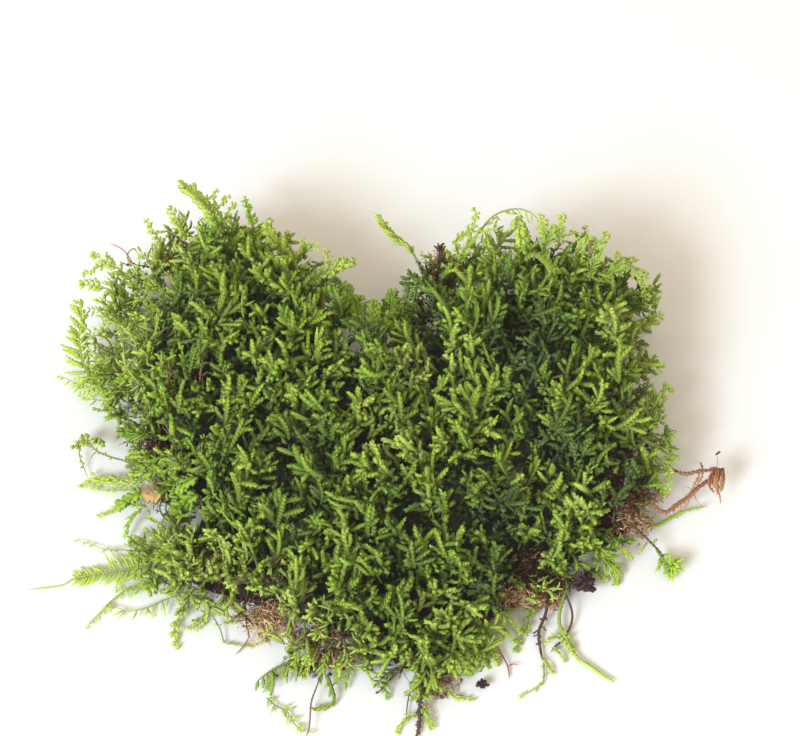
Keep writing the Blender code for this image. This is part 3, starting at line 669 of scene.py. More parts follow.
@dataclass(frozen=True)
class SoilFinish(Finish):
    """Humus, bark and the dark growth under the shoots: two colours in soft spots, with a bump."""

    name: str
    dark: Colour
    light: Colour
    scale: float = 900.0  # spots to a metre
    rough: float = 0.9

    def make(self) -> bpy.types.Material:
        """Makes the material."""
        nodes = Nodes(self.title)
        place = nodes.add("TexCoord").outputs["Object"]
        noise = nodes.add(
            "TexNoise", {"Vector": place, "Scale": self.scale, "Detail": 4.0, "Roughness": 0.65})
        colour = nodes.ramp(noise.outputs["Fac"], ((0.35, self.dark), (0.68, self.light)))
        bump = nodes.add(
            "Bump", {"Strength": 0.6, "Distance": 0.0003, "Height": noise.outputs["Fac"]})
        body = nodes.add("BsdfPrincipled", {
            "Base Color": colour, "Roughness": self.rough, "Normal": bump.outputs[0],
            "Specular IOR Level": 0.3})
        return nodes.surface(body)


OLD_GROWTH = SoilFinish("old_growth", (0.014, 0.016, 0.008), (0.06, 0.064, 0.026))
HUMUS = SoilFinish("humus", (0.01, 0.005, 0.004), (0.052, 0.024, 0.014), 1400.0)
BARK = SoilFinish("bark", (0.012, 0.007, 0.008), (0.085, 0.045, 0.04), 1600.0)


@dataclass(frozen=True)
class DryLeafFinish(Finish):
    """A dead leaf: pale and grey-brown above, orange-tan below, thin enough to glow."""

    name: str = "dry_leaf"
    colours: Stops = (
        (0.0, (0.46, 0.45, 0.32)), (0.2, (0.27, 0.23, 0.13)), (0.42, (0.2, 0.13, 0.06)),
        (0.56, (0.42, 0.25, 0.08)), (0.78, (0.52, 0.34, 0.11)), (1.0, (0.5, 0.36, 0.15)))

    def make(self) -> bpy.types.Material:
        """Makes the material."""
        nodes = Nodes(self.title)
        uv = nodes.add("UVMap", uv_map=UV_NAME).outputs["UV"]
        down = nodes.add("SeparateXYZ", {0: uv}).outputs["X"]
        noise = nodes.add("TexNoise", {"Vector": uv, "Scale": 5.0, "Detail": 3.0}).outputs["Fac"]
        shift = nodes.math("MULTIPLY", nodes.math("SUBTRACT", noise, 0.5), 0.7)
        colour = nodes.ramp(nodes.math("ADD", down, shift), self.colours)
        veins = nodes.ranged(nodes.streaks(uv, (3.0, 26.0, 1.0), 1.0), 0.35, 0.65, 0.75, 1.15)
        colour = nodes.shaded(colour, veins)
        body = nodes.add("BsdfPrincipled", {"Base Color": colour, "Roughness": 0.65})
        return nodes.surface(body, colour, 0.25)


@dataclass(frozen=True)
class FloorFinish(Finish):
    """The pale floor."""

    name: str = "pale_floor"
    colour: Colour = (0.66, 0.66, 0.66)

    def make(self) -> bpy.types.Material:
        """Makes the material."""
        nodes = Nodes(self.title)
        return nodes.surface(
            nodes.add("BsdfPrincipled", {"Base Color": (*self.colour, 1), "Roughness": 0.7}))


# ---------------------------------------------------------------- the living cushion


class Region(Enum):
    """Parts of the cushion, each with the place in plan that it is gathered round."""

    LEFT_LOBE = (-23, 21)
    LEFT_FLANK = (-21, 6)
    LEFT_SKIRT = (-18, -11)
    MIDDLE = (0, 5)
    FRONT = (3, -18)
    RIGHT_LOBE = (20, 20)
    RIGHT_FLANK = (27, 5)
    RIGHT_SKIRT = (21, -9)

    @classmethod
    def nearest(cls, xy: Array) -> Array:
        """Number of the region whose place is nearest to each point."""
        places = np.array([region.value for region in cls])
        return ((xy[:, None] - places[None]) ** 2).sum(-1).argmin(1)


@dataclass
class Shoots(Batch):
    """Pinnate shoots made together, each given by its tip."""

    tip: Array
    heading: Array  # direction at the tip
    rise: Array  # direction at the root
    length: Array
    side: Array  # direction of the frond's plane across the shoot
    tone: Array
    vigour: Array  # size of the branchlets, 1 for a strong shoot


@dataclass(frozen=True)
class Habit:
    """How the shoots of one layer are built."""

    axis_radius: float
    branchlet_radius: tuple[float, float]
    branchlet_length: float
    pairs: int
    first_pair: float  # shares of the shoot's length between which its branchlets leave it
    last_pair: float
    youth: float  # age that its tips reach
    leafing: Leafing
    angle: float = 60.0  # of the lowest branchlets to the shoot, in degrees
    age: float = 0.08  # of the lowest branchlets at their feet
    closing: float = 22.0  # how much smaller the angle is near the tip
    scatter: float = 18.0  # spread of the angle
    gaps: float = 0.18  # share of the branchlets that is missing


AXIS_POINTS = 16  # points along a shoot's axis
AXIS_RINGS = 34  # most rings of its leafy part
ROOT_START = 2  # the points between which its root lies
ROOT_END = 7

UPPER = Habit(
    axis_radius=0.24, branchlet_radius=(0.17, 0.24), branchlet_length=2.25, pairs=5,
    first_pair=0.4, last_pair=0.82, youth=1.0, leafing=BRANCHLET)
LOWER = Habit(
    axis_radius=0.25, branchlet_radius=(0.2, 0.27), branchlet_length=2.4, pairs=4,
    first_pair=0.36, last_pair=0.85, youth=0.66, leafing=SHADED)
SIDEWARD = Habit(
    axis_radius=0.2, branchlet_radius=(0.14, 0.21), branchlet_length=2.4, pairs=4,
    first_pair=0.34, last_pair=0.82, youth=0.92, leafing=BRANCHLET)
AIRY = Habit(
    axis_radius=0.19, branchlet_radius=(0.14, 0.2), branchlet_length=2.1, pairs=6,
    first_pair=0.24, last_pair=0.9, youth=1.0, leafing=PINNA, angle=62.0, age=0.35)
WITHERED = Habit(
    axis_radius=0.12, branchlet_radius=(0.08, 0.13), branchlet_length=1.8, pairs=5,
    first_pair=0.25, last_pair=0.9, youth=0.9, leafing=FRAY)


@dataclass
class Cushion:
    """The living shoots of the clump, which stand for the solid cushion."""

    edge: Outline = CUSHION_EDGE
    crown: Crown = CROWN
    seed: int = 21
    shoot_length: tuple[float, float] = (7.0, 10.5)
    leaning: float = 0.6  # how far the shoots lean to the back, as a slope
    swirl: float = 1.0  # how far neighbouring shoots lean together, as a slope
    wall_spacing: float = 2.5
    wall_low: float = 1.2
    wall_gap: float = 2.2  # from the crown's rim down to the highest row of the wall
    highest: float = 18.4  # of a tip on the crown
    crest_spacing: float = 1.5
    sway: float = 0.42  # how far a shoot bows sideways between its root and its tip
    tone: float = 0.49
    tone_ripple: float = 0.11  # how far the tone changes slowly over the cushion
    tone_size: float = 7.0  # distance over which it does
    tone_spread: float = 0.08  # how far it differs from shoot to shoot
    tone_limits: tuple[float, float] = (0.12, 0.78)
    dead_tones: tuple[float, float] = (0.945, 0.99)
    # Patches that change the shoots' tone, x, y, radius, change: partly the moss's own colour,
    # partly painted light and shade, those that darken the hollows being painted shade.
    tone_patches: tuple[Patch, ...] = (
        (-34, 15, 8, 0.24), (-30, 28, 8, 0.16), (-36, 20, 5, 0.1), (-26, -14, 8, 0.24),
        (20, 26, 8, 0.1), (30, 20, 7, 0.08), (0, -24, 9, 0.1), (26, -11, 8, 0.1),
        (-6, -6, 9, -0.06), (16, -6, 8, -0.17), (5, -11, 6, -0.12), (-14, -4, 8, -0.06),
        (18.4, 14.2, 4.8, -0.3), (6, 17, 5, -0.16), (-20, 0, 6, -0.1), (31.4, -3, 4, -0.24),
        (23.6, 13.6, 4, -0.14), (14.2, -15.5, 3.6, -0.18), (20.5, 21.8, 4, -0.14),
        (18.4, 9.4, 4, -0.14), (5.3, 25, 3, -0.16), (-26.6, 21.6, 4, -0.12), (-12, -23.8, 5, 0.14),
        (-20, -17.4, 7, 0.12), (7.2, 12.9, 4, 0.14), (36.6, 7, 4, 0.12), (-3.9, -9.7, 4, 0.12),
        (9.2, -27.7, 4, 0.14), (18.3, 11.1, 3.5, -0.26), (-3.4, 18.3, 3.2, -0.2),
        (16.7, -10.1, 3.1, -1.18), (5, 23.2, 3.2, -0.14), (13.8, -18.4, 3, -0.36),
        (24.6, -0.6, 3.1, -0.43), (22.6, -5, 3.2, -0.14), (7.5, 12, 3.4, 0.16),
        (-0.2, -0.2, 3.2, 0.9), (-25.4, -19.2, 4, 0.14), (-26.9, -6, 3.1, -0.18),
        (10.9, 6.2, 3.4, 0.16), (8.4, -6.3, 3.2, 0.38), (30.1, 13.8, 3.3, 0.33),
        (9.3, -28.7, 3.4, 0.12), (23.5, 9.4, 3.2, -0.2), (-0.2, -14.9, 3.1, -0.49),
        (-9.8, -13, 3.2, -0.16), (-22.4, -9.9, 3.1, -0.32), (-7.2, -23.7, 4, 0.18),
        (6.8, 9.7, 3.1, 0.89), (26.9, -7, 3, 0.34), (14.6, 1.4, 3, 0.43), (6.8, -12.3, 3, 0.2),
        (-28, -2.6, 3, 0.18), (-2.8, 16.5, 3, -0.33), (-14.6, -18, 3, -0.14),
        (7.2, -17.2, 3, -0.14), (-12.4, -23.1, 3.2, 0.39), (-17.2, 10.2, 3.2, 0.2),
        (21.8, -9.2, 3, 0.2), (-4, -15.8, 3, 0.2), (10.6, 25.4, 3, 0.2), (22.5, 29.8, 3, -0.73),
        (30.6, -7.2, 3, -0.56), (2.4, 4.8, 3, -0.37), (-2.5, -22.3, 3, -0.39),
        (-25.6, 18, 3, -0.31), (30.9, 24.2, 3, -0.34), (5.5, 21.2, 3, -0.17),
        (-5.4, -1.3, 3, -0.17), (-31.4, -15.8, 3, -0.16), (-10.4, -5.1, 3, -0.16),
        (-16.4, -22.3, 3, 0.27), (-9.9, -26.1, 3, 0.27), (17.5, -5.2, 3, 0.54),
        (12.3, 25.8, 3, 0.25), (-23.5, -18.6, 3, 0.51), (-6, -24.9, 3, 0.25),
        (-12.4, 27.7, 3, 0.24), (-29.1, 28, 3, 0.48), (20.1, -8.1, 3, 0.23), (-16.8, -7.7, 3, 0.22),
        (-23.5, 34, 3, -0.18), (-30.5, 18.2, 3, -0.16), (8.4, -15.5, 3, -0.16), (20, 11.9, 3, -0.3),
        (-8.2, -27.1, 3, 0.3), (11.7, -12.2, 3, 0.26), (19.9, -17.7, 3, 0.46),
        (-9.4, -19.9, 3, 0.26), (6.8, -20.4, 3, 0.25), (-0.6, -18.5, 3, 0.25),
        (2.2, -21.6, 3, -0.14), (-5.9, -17.7, 3, -0.13), (13.1, -7.2, 3, -0.14),
        (-15.8, 16.9, 3, 0.2), (6, 14.8, 3, 0.2), (36, 3.7, 3, 0.2),
    )
    # Patches with dead shoots: x, y, radius, share of the shoots.
    dead_patches: tuple[Patch, ...] = (
        (-30.4, 2, 3.4, 0.5), (-26, 9, 5, 0.25), (-30, 28, 3.5, 0.35), (32.2, -4.8, 3.2, 0.5),
        (34, -8.2, 2.6, 0.7), (18, -18.6, 3.5, 0.6), (7.5, 24, 3, 0.7), (-15, -20.5, 3, 0.6),
        (-29, -5, 3, 0.6), (-10, -25, 3, 0.4),
    )
    # Patches of thin feathery shoots: x, y, radius, share of the shoots.
    airy_patches: tuple[Patch, ...] = (
        (-37, 15, 8, 1), (-34, 26, 6, 1), (-24, 32, 4, 0.7), (15, 30, 5, 0.6), (35, 20, 5, 0.5),
        (-30, -13, 8, 1), (30, -10, 4, 0.5), (0, -29.5, 4, 0.5), (-14, -24, 5, 0.6),
    )
    frayed: float = 0.35  # share of thin shoots among those that stick out
    clump_size: float = 3.6  # half the distance between the clumps that the shoots stand in
    clump_rise: float = 2.8  # how much taller they are in a clump's middle
    clump_gap: float = 2.6  # how fast they get fewer between the clumps
    clump_core: float = 0.35  # how wide the clumps are before they do
    clump_most: float = 0.92  # greatest share that is missing between them
    # Patches where the shoots stand further apart: x, y, radius, share that is missing.
    bare_patches: tuple[Patch, ...] = (
        (-35, 16, 5, 0.45), (-34, 24, 4, 0.3), (18.2, 14.8, 4, 0.98), (16.2, -5.5, 2.8, 0.5),
        (5.8, -10.6, 2, 0.4), (7.5, 17, 2.4, 0.6), (-28.2, -7.6, 1.6, 0.8),
        (-23.2, -14.5, 1.8, 0.8), (32.2, -5, 3.4, 0.8), (14.2, -15.5, 2.2, 0.4),
        (18.3, 11.1, 2.4, 0.55), (16.2, -11, 2.2, 0.4), (-3.4, 18.3, 2.2, 0.4),
        (25.2, -1.2, 2, 0.35),
    )
    # Patches where few shoots stick out: x, y, radius, share that is missing.
    trimmed_patches: tuple[Patch, ...] = (
        (-4.3, 22, 3.5, 1), (0.5, 19, 2.6, 0.8), (35.8, 16.5, 4, 0.8), (36.6, 5.5, 3, 0.6),
        (18.1, -20, 3.6, 0.9), (-3, -29.2, 3.4, 0.5), (2.5, -30.6, 3, 0.5), (10.5, -29.4, 3, 0.8),
        (-11.5, -25, 3, 0.4), (33, -8, 3, 0.7),
    )

    def tones(self, xy: Array, chance: np.random.Generator) -> Array:
        """Tone of shoots at the points: patches of own tone and of painted light and shade, chance,
        and dead shoots in the dead patches.
        """
        tone = self.tone + swellings(xy, self.tone_patches)
        tone += self.tone_ripple * ripple(xy, self.tone_size, self.seed)
        tone += chance.normal(0, self.tone_spread, len(xy))
        tone = np.clip(tone, *self.tone_limits)
        dead = chance.random(len(xy)) < swellings(xy, self.dead_patches)
        tone[dead] = chance.uniform(*self.dead_tones, dead.sum())
        return tone

    def lattice(self, spacing: float, jitter: float, chance: np.random.Generator) -> Array:
        """Points in plan on a triangular lattice moved by chance, fewer in the bare patches."""
        j, i = np.mgrid[-40:40, -60:60]
        xy = np.column_stack([(i + j % 2 / 2).ravel(), (j * math.sqrt(0.75)).ravel()]) * spacing
        xy += chance.uniform(-1, 1, xy.shape) * jitter
        missing = swellings(xy, self.bare_patches)
        between = -self.clump_core - self.clump_gap * ripple(xy, self.clump_size, self.seed + 2)
        missing += np.clip(between, 0, self.clump_most)
        return xy[chance.random(len(xy)) > missing]

    def top(
        self, spacing: float, drop: float, margin: float, spread: float, chance: np.random.Generator
    ) -> Shoots:
        """Shoots over the crown.

        Args:
            spacing: between neighbouring tips.
            drop: how far their tips lie under the crown.
            margin: how far they keep inside the edge.
            spread: how far chance moves a tip's height.
            chance: draws the numbers.
        """
        xy = self.lattice(spacing, 0.3 * spacing, chance)
        depth = self.edge.depth(xy)
        xy, depth = xy[depth > margin], depth[depth > margin]
        count = len(xy)
        out = np.column_stack([self.edge.outward(xy), np.zeros(count)])
        lean = 1.25 * np.exp(-depth / 4.0)[:, None]
        drift = chance.normal(0, 0.5, (count, 3)) * (1, 1, 0)
        drift[:, 0] += self.swirl * ripple(xy, 5.0, self.seed + 3)
        drift[:, 1] += self.swirl * ripple(xy, 5.0, self.seed + 4)
        back = self.leaning * np.array([0.0, 1.0, 0.0]) * np.clip(depth / 5, 0, 1)[:, None]
        heading = unit(UP + lean * out + drift + back)
        height = self.crown.height(xy, depth) - drop + chance.normal(0, spread, count)
        height += self.clump_rise * ripple(xy, self.clump_size, self.seed + 2)
        tip = np.column_stack([xy, np.clip(height, 1.2, self.highest)])
        return Shoots(
            tip=tip, heading=heading,
            rise=unit(UP * 1.3 + 0.35 * lean * out - 0.4 * drift - 0.3 * back),
            length=chance.uniform(*self.shoot_length, count) * np.clip(tip[:, 2] / 10, 0.5, 1),
            side=self.planes(count, chance), tone=self.tones(xy, chance),
            vigour=chance.uniform(0.7, 1.2, count))

    def wall(self, chance: np.random.Generator) -> Shoots:
        """Shoots that stand out of the cushion's side, in rows from the floor up to the rim."""
        ring = self.edge.ring(self.wall_spacing)
        rim = self.crown.height(ring, np.zeros(len(ring)))
        rows = np.arange(self.wall_low, rim.max(), self.wall_spacing)
        xy = np.tile(ring, (len(rows), 1)) + chance.uniform(-1, 1, (len(rows) * len(ring), 2)) * 0.8
        level = np.repeat(rows, len(ring)) + chance.uniform(-0.9, 0.9, len(xy))
        keep = level < np.tile(rim, len(rows)) - self.wall_gap
        return self.outward_shoots(
            xy[keep], np.maximum(level[keep], 0.5), beyond=(0.2, 1.7), climb=(-0.1, 0.75),
            length=(4.5, 7.0), chance=chance)

    def crest(self, chance: np.random.Generator) -> Shoots:
        """Shoots that stick out along the crown's rim, which fray the outline."""
        ring = self.edge.ring(self.crest_spacing)
        xy = ring + chance.uniform(-1, 1, ring.shape) * 0.6
        rim = self.crown.height(ring, np.zeros(len(ring)))
        level = rim * chance.uniform(0.82, 1.06, len(ring))
        return self.outward_shoots(
            xy, level, beyond=(0.3, 2.6), climb=(0.2, 1.3), length=(6.0, 8.5), chance=chance)

    def outward_shoots(
        self, xy: Array, level: Array, beyond: tuple[float, float], climb: tuple[float, float],
        length: tuple[float, float], chance: np.random.Generator,
    ) -> Shoots:
        """Shoots that point outward.

        Args:
            xy: places in plan near the edge.
            level: heights of their tips.
            beyond: least and greatest distance of a tip outside its place.
            climb: least and greatest slope at the tip.
            length: least and greatest length.
            chance: draws the numbers.
        """
        stays = chance.random(len(xy)) > swellings(xy, self.trimmed_patches)
        xy, level = xy[stays], level[stays]
        count = len(xy)
        flat_out = self.edge.outward(xy)
        out = np.column_stack([flat_out, np.zeros(count)])
        across = np.column_stack([-flat_out[:, 1], flat_out[:, 0], np.zeros(count)])
        droop = 0.35 * np.exp(-level / 1.5)
        slope = (chance.uniform(*climb, count) - droop)[:, None]
        heading = unit(out + slope * UP + chance.normal(0, 0.45, (count, 1)) * across)
        tip = np.column_stack([xy, level]) + out * chance.uniform(*beyond, (count, 1))
        return Shoots(
            tip=tip, heading=heading, rise=unit(out + 0.4 * np.maximum(slope, 0.3) * UP),
            length=chance.uniform(*length, count),
            side=unit(across + chance.normal(0, 0.5, (count, 1)) * UP),
            tone=self.tones(xy, chance), vigour=chance.uniform(0.65, 1.05, count))

    def planes(self, count: int, chance: np.random.Generator) -> Array:
        """Directions across the fronds, mostly along X."""
        turn = chance.normal(0, 0.8, count)
        return np.column_stack([np.cos(turn), np.sin(turn), np.zeros(count)])

    def grow(self, skin: Skin, shoots: Shoots, habit: Habit, chance: np.random.Generator) -> None:
        """Adds the axes and branchlets of the shoots.

        A shoot's direction turns evenly from its rise to its heading, plus a half wave of sway.
        Its branchlets leave it in pairs, at an angle that closes towards the tip, and are longest
        a third of the way up.
        """
        count = len(shoots.tip)
        if count == 0:
            return
        bend = unit(shoots.heading) - unit(shoots.rise)
        last = AXIS_POINTS - 1
        t = np.linspace(0, 1, AXIS_POINTS)
        sway = chance.normal(0, self.sway, (count, 3))
        steps = shoots.rise[:, None] + bend[:, None] * t[None, :, None]
        steps = unit(steps + sway[:, None] * np.sin(math.pi * t)[None, :, None])
        steps *= (shoots.length / last)[:, None, None]
        axis = np.cumsum(steps, axis=1)
        axis += (shoots.tip - axis[:, -1])[:, None]
        direction = unit(steps)
        girth = habit.axis_radius * shoots.vigour * chance.uniform(0.9, 1.1, count)
        parts = ((ROOT_START, ROOT_END, 0.7, 0.0, 0.3, ROOT),
                 (ROOT_END, last, 1.0, 0.3, 1.0, habit.leafing))
        for start, end, thick, old, young, leafing in parts:
            share = (end - start) / last
            Branchlets(
                foot=axis[:, start], heading=direction[:, start],
                bend=direction[:, end] - direction[:, start],
                length=shoots.length * share, radius=girth * thick,
                age_foot=np.full(count, old * habit.youth),
                age_tip=np.full(count, young * habit.youth),
                tone=shoots.tone, side=shoots.side).grow(skin, leafing, most=AXIS_RINGS)

        share = np.linspace(habit.first_pair, habit.last_pair, habit.pairs)
        share = np.stack([share, share + 0.5 * (share[1] - share[0]) - 0.02], 1).reshape(-1)
        way = np.tile([1.0, -1.0], habit.pairs)
        at = share + chance.normal(0, 0.035, (count, len(share)))
        place = np.clip(at, 0, 1) * last
        low = np.minimum(place.astype(int), last - 1)
        part = (place - low)[..., None]
        who = np.arange(count)[:, None]
        foot = axis[who, low] * (1 - part) + axis[who, low + 1] * part
        forward = direction[who, low]
        across = shoots.side[:, None]
        side = unit(across - (across * forward).sum(-1, keepdims=True) * forward)
        over = np.cross(forward, side)
        climb = (at - habit.first_pair) / (1 - habit.first_pair)
        angle = habit.angle - habit.closing * climb + chance.normal(0, habit.scatter, at.shape)
        angle = np.radians(angle)[..., None]
        tilt = chance.normal(0, 0.45, at.shape)[..., None]
        heading = unit(np.cos(angle) * forward + np.sin(angle) * way[:, None] * side + tilt * over)
        outline = np.sin(np.pi * (0.2 + 0.72 * np.clip(climb, 0, 1))) ** 0.7
        length = habit.branchlet_length * shoots.vigour[:, None] * outline
        length = np.maximum(length * chance.uniform(0.5, 1.4, at.shape), 0.9)
        radius = chance.uniform(*habit.branchlet_radius, at.shape)
        radius *= 0.8 + 0.2 * shoots.vigour[:, None]
        bending = 0.65 * forward + chance.normal(0, 0.8, (*at.shape, 3))
        branchlets = Branchlets(
            foot=foot.reshape(-1, 3), heading=heading.reshape(-1, 3), bend=bending.reshape(-1, 3),
            length=length.ravel(), radius=radius.ravel(),
            age_foot=((habit.age + (0.5 - habit.age) * climb) * habit.youth).ravel(),
            age_tip=((0.72 + 0.28 * climb) * habit.youth).ravel(),
            tone=(shoots.tone[:, None] + chance.normal(0, 0.02, at.shape)).ravel(),
            side=over.reshape(-1, 3))
        branchlets.kept(chance.random(at.size) > habit.gaps).grow(skin, habit.leafing)

    def build(self) -> None:
        """Makes one piece for each region."""
        chance = np.random.default_rng(self.seed)
        layers = (
            (self.top(spacing=2.55, drop=0.0, margin=0.5, spread=0.8, chance=chance), UPPER),
            (self.top(spacing=2.45, drop=2.1, margin=1.0, spread=0.8, chance=chance), LOWER),
            (Shoots.joined([self.wall(chance), self.crest(chance)]), SIDEWARD),
        )
        for number, region in enumerate(Region):
            skin = Skin()
            for shoots, habit in layers:
                xy = shoots.tip[:, :2]
                here = Region.nearest(xy) == number
                dead = shoots.tone > self.tone_limits[1]
                share = swellings(xy, self.airy_patches) + self.frayed * (self.edge.depth(xy) < 0.3)
                airy = ~dead & (chance.random(len(xy)) < share)
                self.grow(skin, shoots.kept(here & ~airy & ~dead), habit, chance)
                self.grow(skin, shoots.kept(here & airy), AIRY, chance)
                self.grow(skin, shoots.kept(here & dead), WITHERED, chance)
            name = "moss_" + region.name.lower()
            skin.piece(name, LIVING, "living_moss", "green_cushion")


@dataclass
class OldGrowth:
    """The dark old growth between the shoots' roots: a closed mound under the crown."""

    edge: Outline = CUSHION_EDGE
    crown: Crown = CROWN
    inset: float = 4.2
    spacing: float = 0.65
    sink: float = 7.6
    slope: float = 3.5  # distance over which its side rises
    low: float = 1.6
    sprig_spacing: float = 0.95
    seed: int = 5

    def top(self, xy: Array, depth: Array) -> Array:
        """Height at the points: the crown less the sink, uneven, and falling to the inset edge."""
        full = self.crown.height(xy, depth + self.inset) - self.sink
        full += 0.9 * ripple(xy, 2.2, self.seed) + 0.7 * ripple(xy, 0.9, self.seed + 1)
        rise = np.clip(depth / self.slope, 0, 1)
        return self.low + np.maximum(full - self.low, 0.3) * rise * (2 - rise)

    def sprigs(self, skin: Skin) -> None:
        """Adds short dark sprigs all over the mound, each at a lattice point moved by chance."""
        chance = np.random.default_rng(self.seed)
        steps = np.arange(-40, 40, self.sprig_spacing)
        xy = np.stack(np.meshgrid(steps, steps), -1).reshape(-1, 2)
        xy += chance.uniform(-0.5, 0.5, xy.shape) * self.sprig_spacing
        depth = self.edge.depth(xy) - self.inset
        xy, depth = xy[depth > 0.3], depth[depth > 0.3]
        count = len(xy)
        Branchlets(
            foot=np.column_stack([xy, self.top(xy, depth) - 0.3]),
            heading=unit(UP + chance.normal(0, 0.8, (count, 3)) * (1, 1, 0)),
            bend=chance.normal(0, 0.5, (count, 3)), length=chance.uniform(1.2, 2.8, count),
            radius=chance.uniform(0.18, 0.3, count), age_foot=chance.uniform(0.0, 0.2, count),
            age_tip=chance.uniform(0.15, 0.6, count), tone=chance.uniform(0.15, 0.75, count),
            side=unit(chance.normal(size=(count, 3)))).grow(skin, SPRIG, least=2)

    def build(self) -> None:
        """Makes the mound and the sprigs on it."""
        body, growth = Skin(), Skin()
        mound(body, self.edge, self.inset, self.spacing, self.top, self.low)
        self.sprigs(growth)
        body.piece("old_growth", OLD_GROWTH, "living_moss", "green_cushion")
        growth.piece("old_sprigs", LIVING, "living_moss", "green_cushion")


def mound(
    skin: Skin, edge: Outline, inset: float, spacing: float,
    top: Callable[[Array, Array], Array], low: float,
) -> None:
    """Adds a closed body over a square grid: an upper sheet, and a flat lower one at height low.

    The grid's cells that lie inside the outline by the inset are kept. The points on the border of
    what is kept are drawn onto the inset outline, where both sheets meet.

    Args:
        skin: takes the faces.
        edge: the outline in plan.
        inset: distance that the body keeps inside it.
        spacing: size of a cell.
        top: gives heights for points and their depths below the inset outline.
        low: height of the lower sheet.
    """
    line = edge.line
    x = np.arange(line[:, 0].min(), line[:, 0].max() + spacing, spacing)
    y = np.arange(line[:, 1].min(), line[:, 1].max() + spacing, spacing)
    xy = np.stack(np.meshgrid(x, y), -1).reshape(-1, 2)
    depth = edge.depth(xy) - inset
    number = np.arange(len(xy)).reshape(len(y), len(x))
    cells = np.stack([number[:-1, :-1], number[:-1, 1:], number[1:, 1:], number[1:, :-1]], -1)
    cells = cells.reshape(-1, 4)
    cells = cells[(depth[cells] > 0).all(1)]
    ends = np.concatenate([cells[:, [k, (k + 1) % 4]] for k in range(4)])
    pairs, uses = np.unique(np.sort(ends, axis=1), axis=0, return_counts=True)
    border = np.zeros(len(xy), bool)
    border[pairs[uses == 1].ravel()] = True
    xy[border] += edge.outward(xy[border]) * np.clip(depth[border], 0, spacing)[:, None]
    depth = np.where(border, 0, depth)
    upper = np.column_stack([xy, top(xy, np.maximum(depth, 0))])
    upper[border, 2] = low
    lower = np.column_stack([xy, np.full(len(xy), low)])
    slab(skin, upper, lower, cells, border, (xy - xy.min(0)) / np.ptp(xy, axis=0))


def slab(
    skin: Skin, upper: Array, lower: Array, cells: Array, border: Array, coords: Array
) -> None:
    """Adds a closed body between two sheets of the same faces, which meet in the border's points.

    Args:
        skin: takes the faces.
        upper: the upper sheet's points, one a row.
        lower: the lower sheet's, in the same order.
        cells: the upper sheet's faces, four point numbers a row.
        border: for each point, whether the sheets share it.
        coords: ages and tones of the points, which both sheets have.
    """
    number = np.arange(len(upper))
    twin = np.where(border, number, number + len(upper))
    faces = np.concatenate([cells, twin[cells[:, ::-1]]])
    used = np.unique(faces)
    renumber = np.zeros(2 * len(upper), int)
    renumber[used] = np.arange(len(used))
    corners = np.vstack([coords, coords])[faces]
    skin.add(np.concatenate([upper, lower])[used], [(renumber[faces], corners)])


# ---------------------------------------------------------------- the dead mat


@dataclass(frozen=True)
class Tangle:
    """A tangle of dead fibres: where it lies, how far it spreads and how it looks."""

    centre: Point
    spread: Point
    count: int
    length: float = 4.0
    heading: Point = (0.0, 0.0, 0.0)
    tone: float = 0.55
    radius: float = 0.055


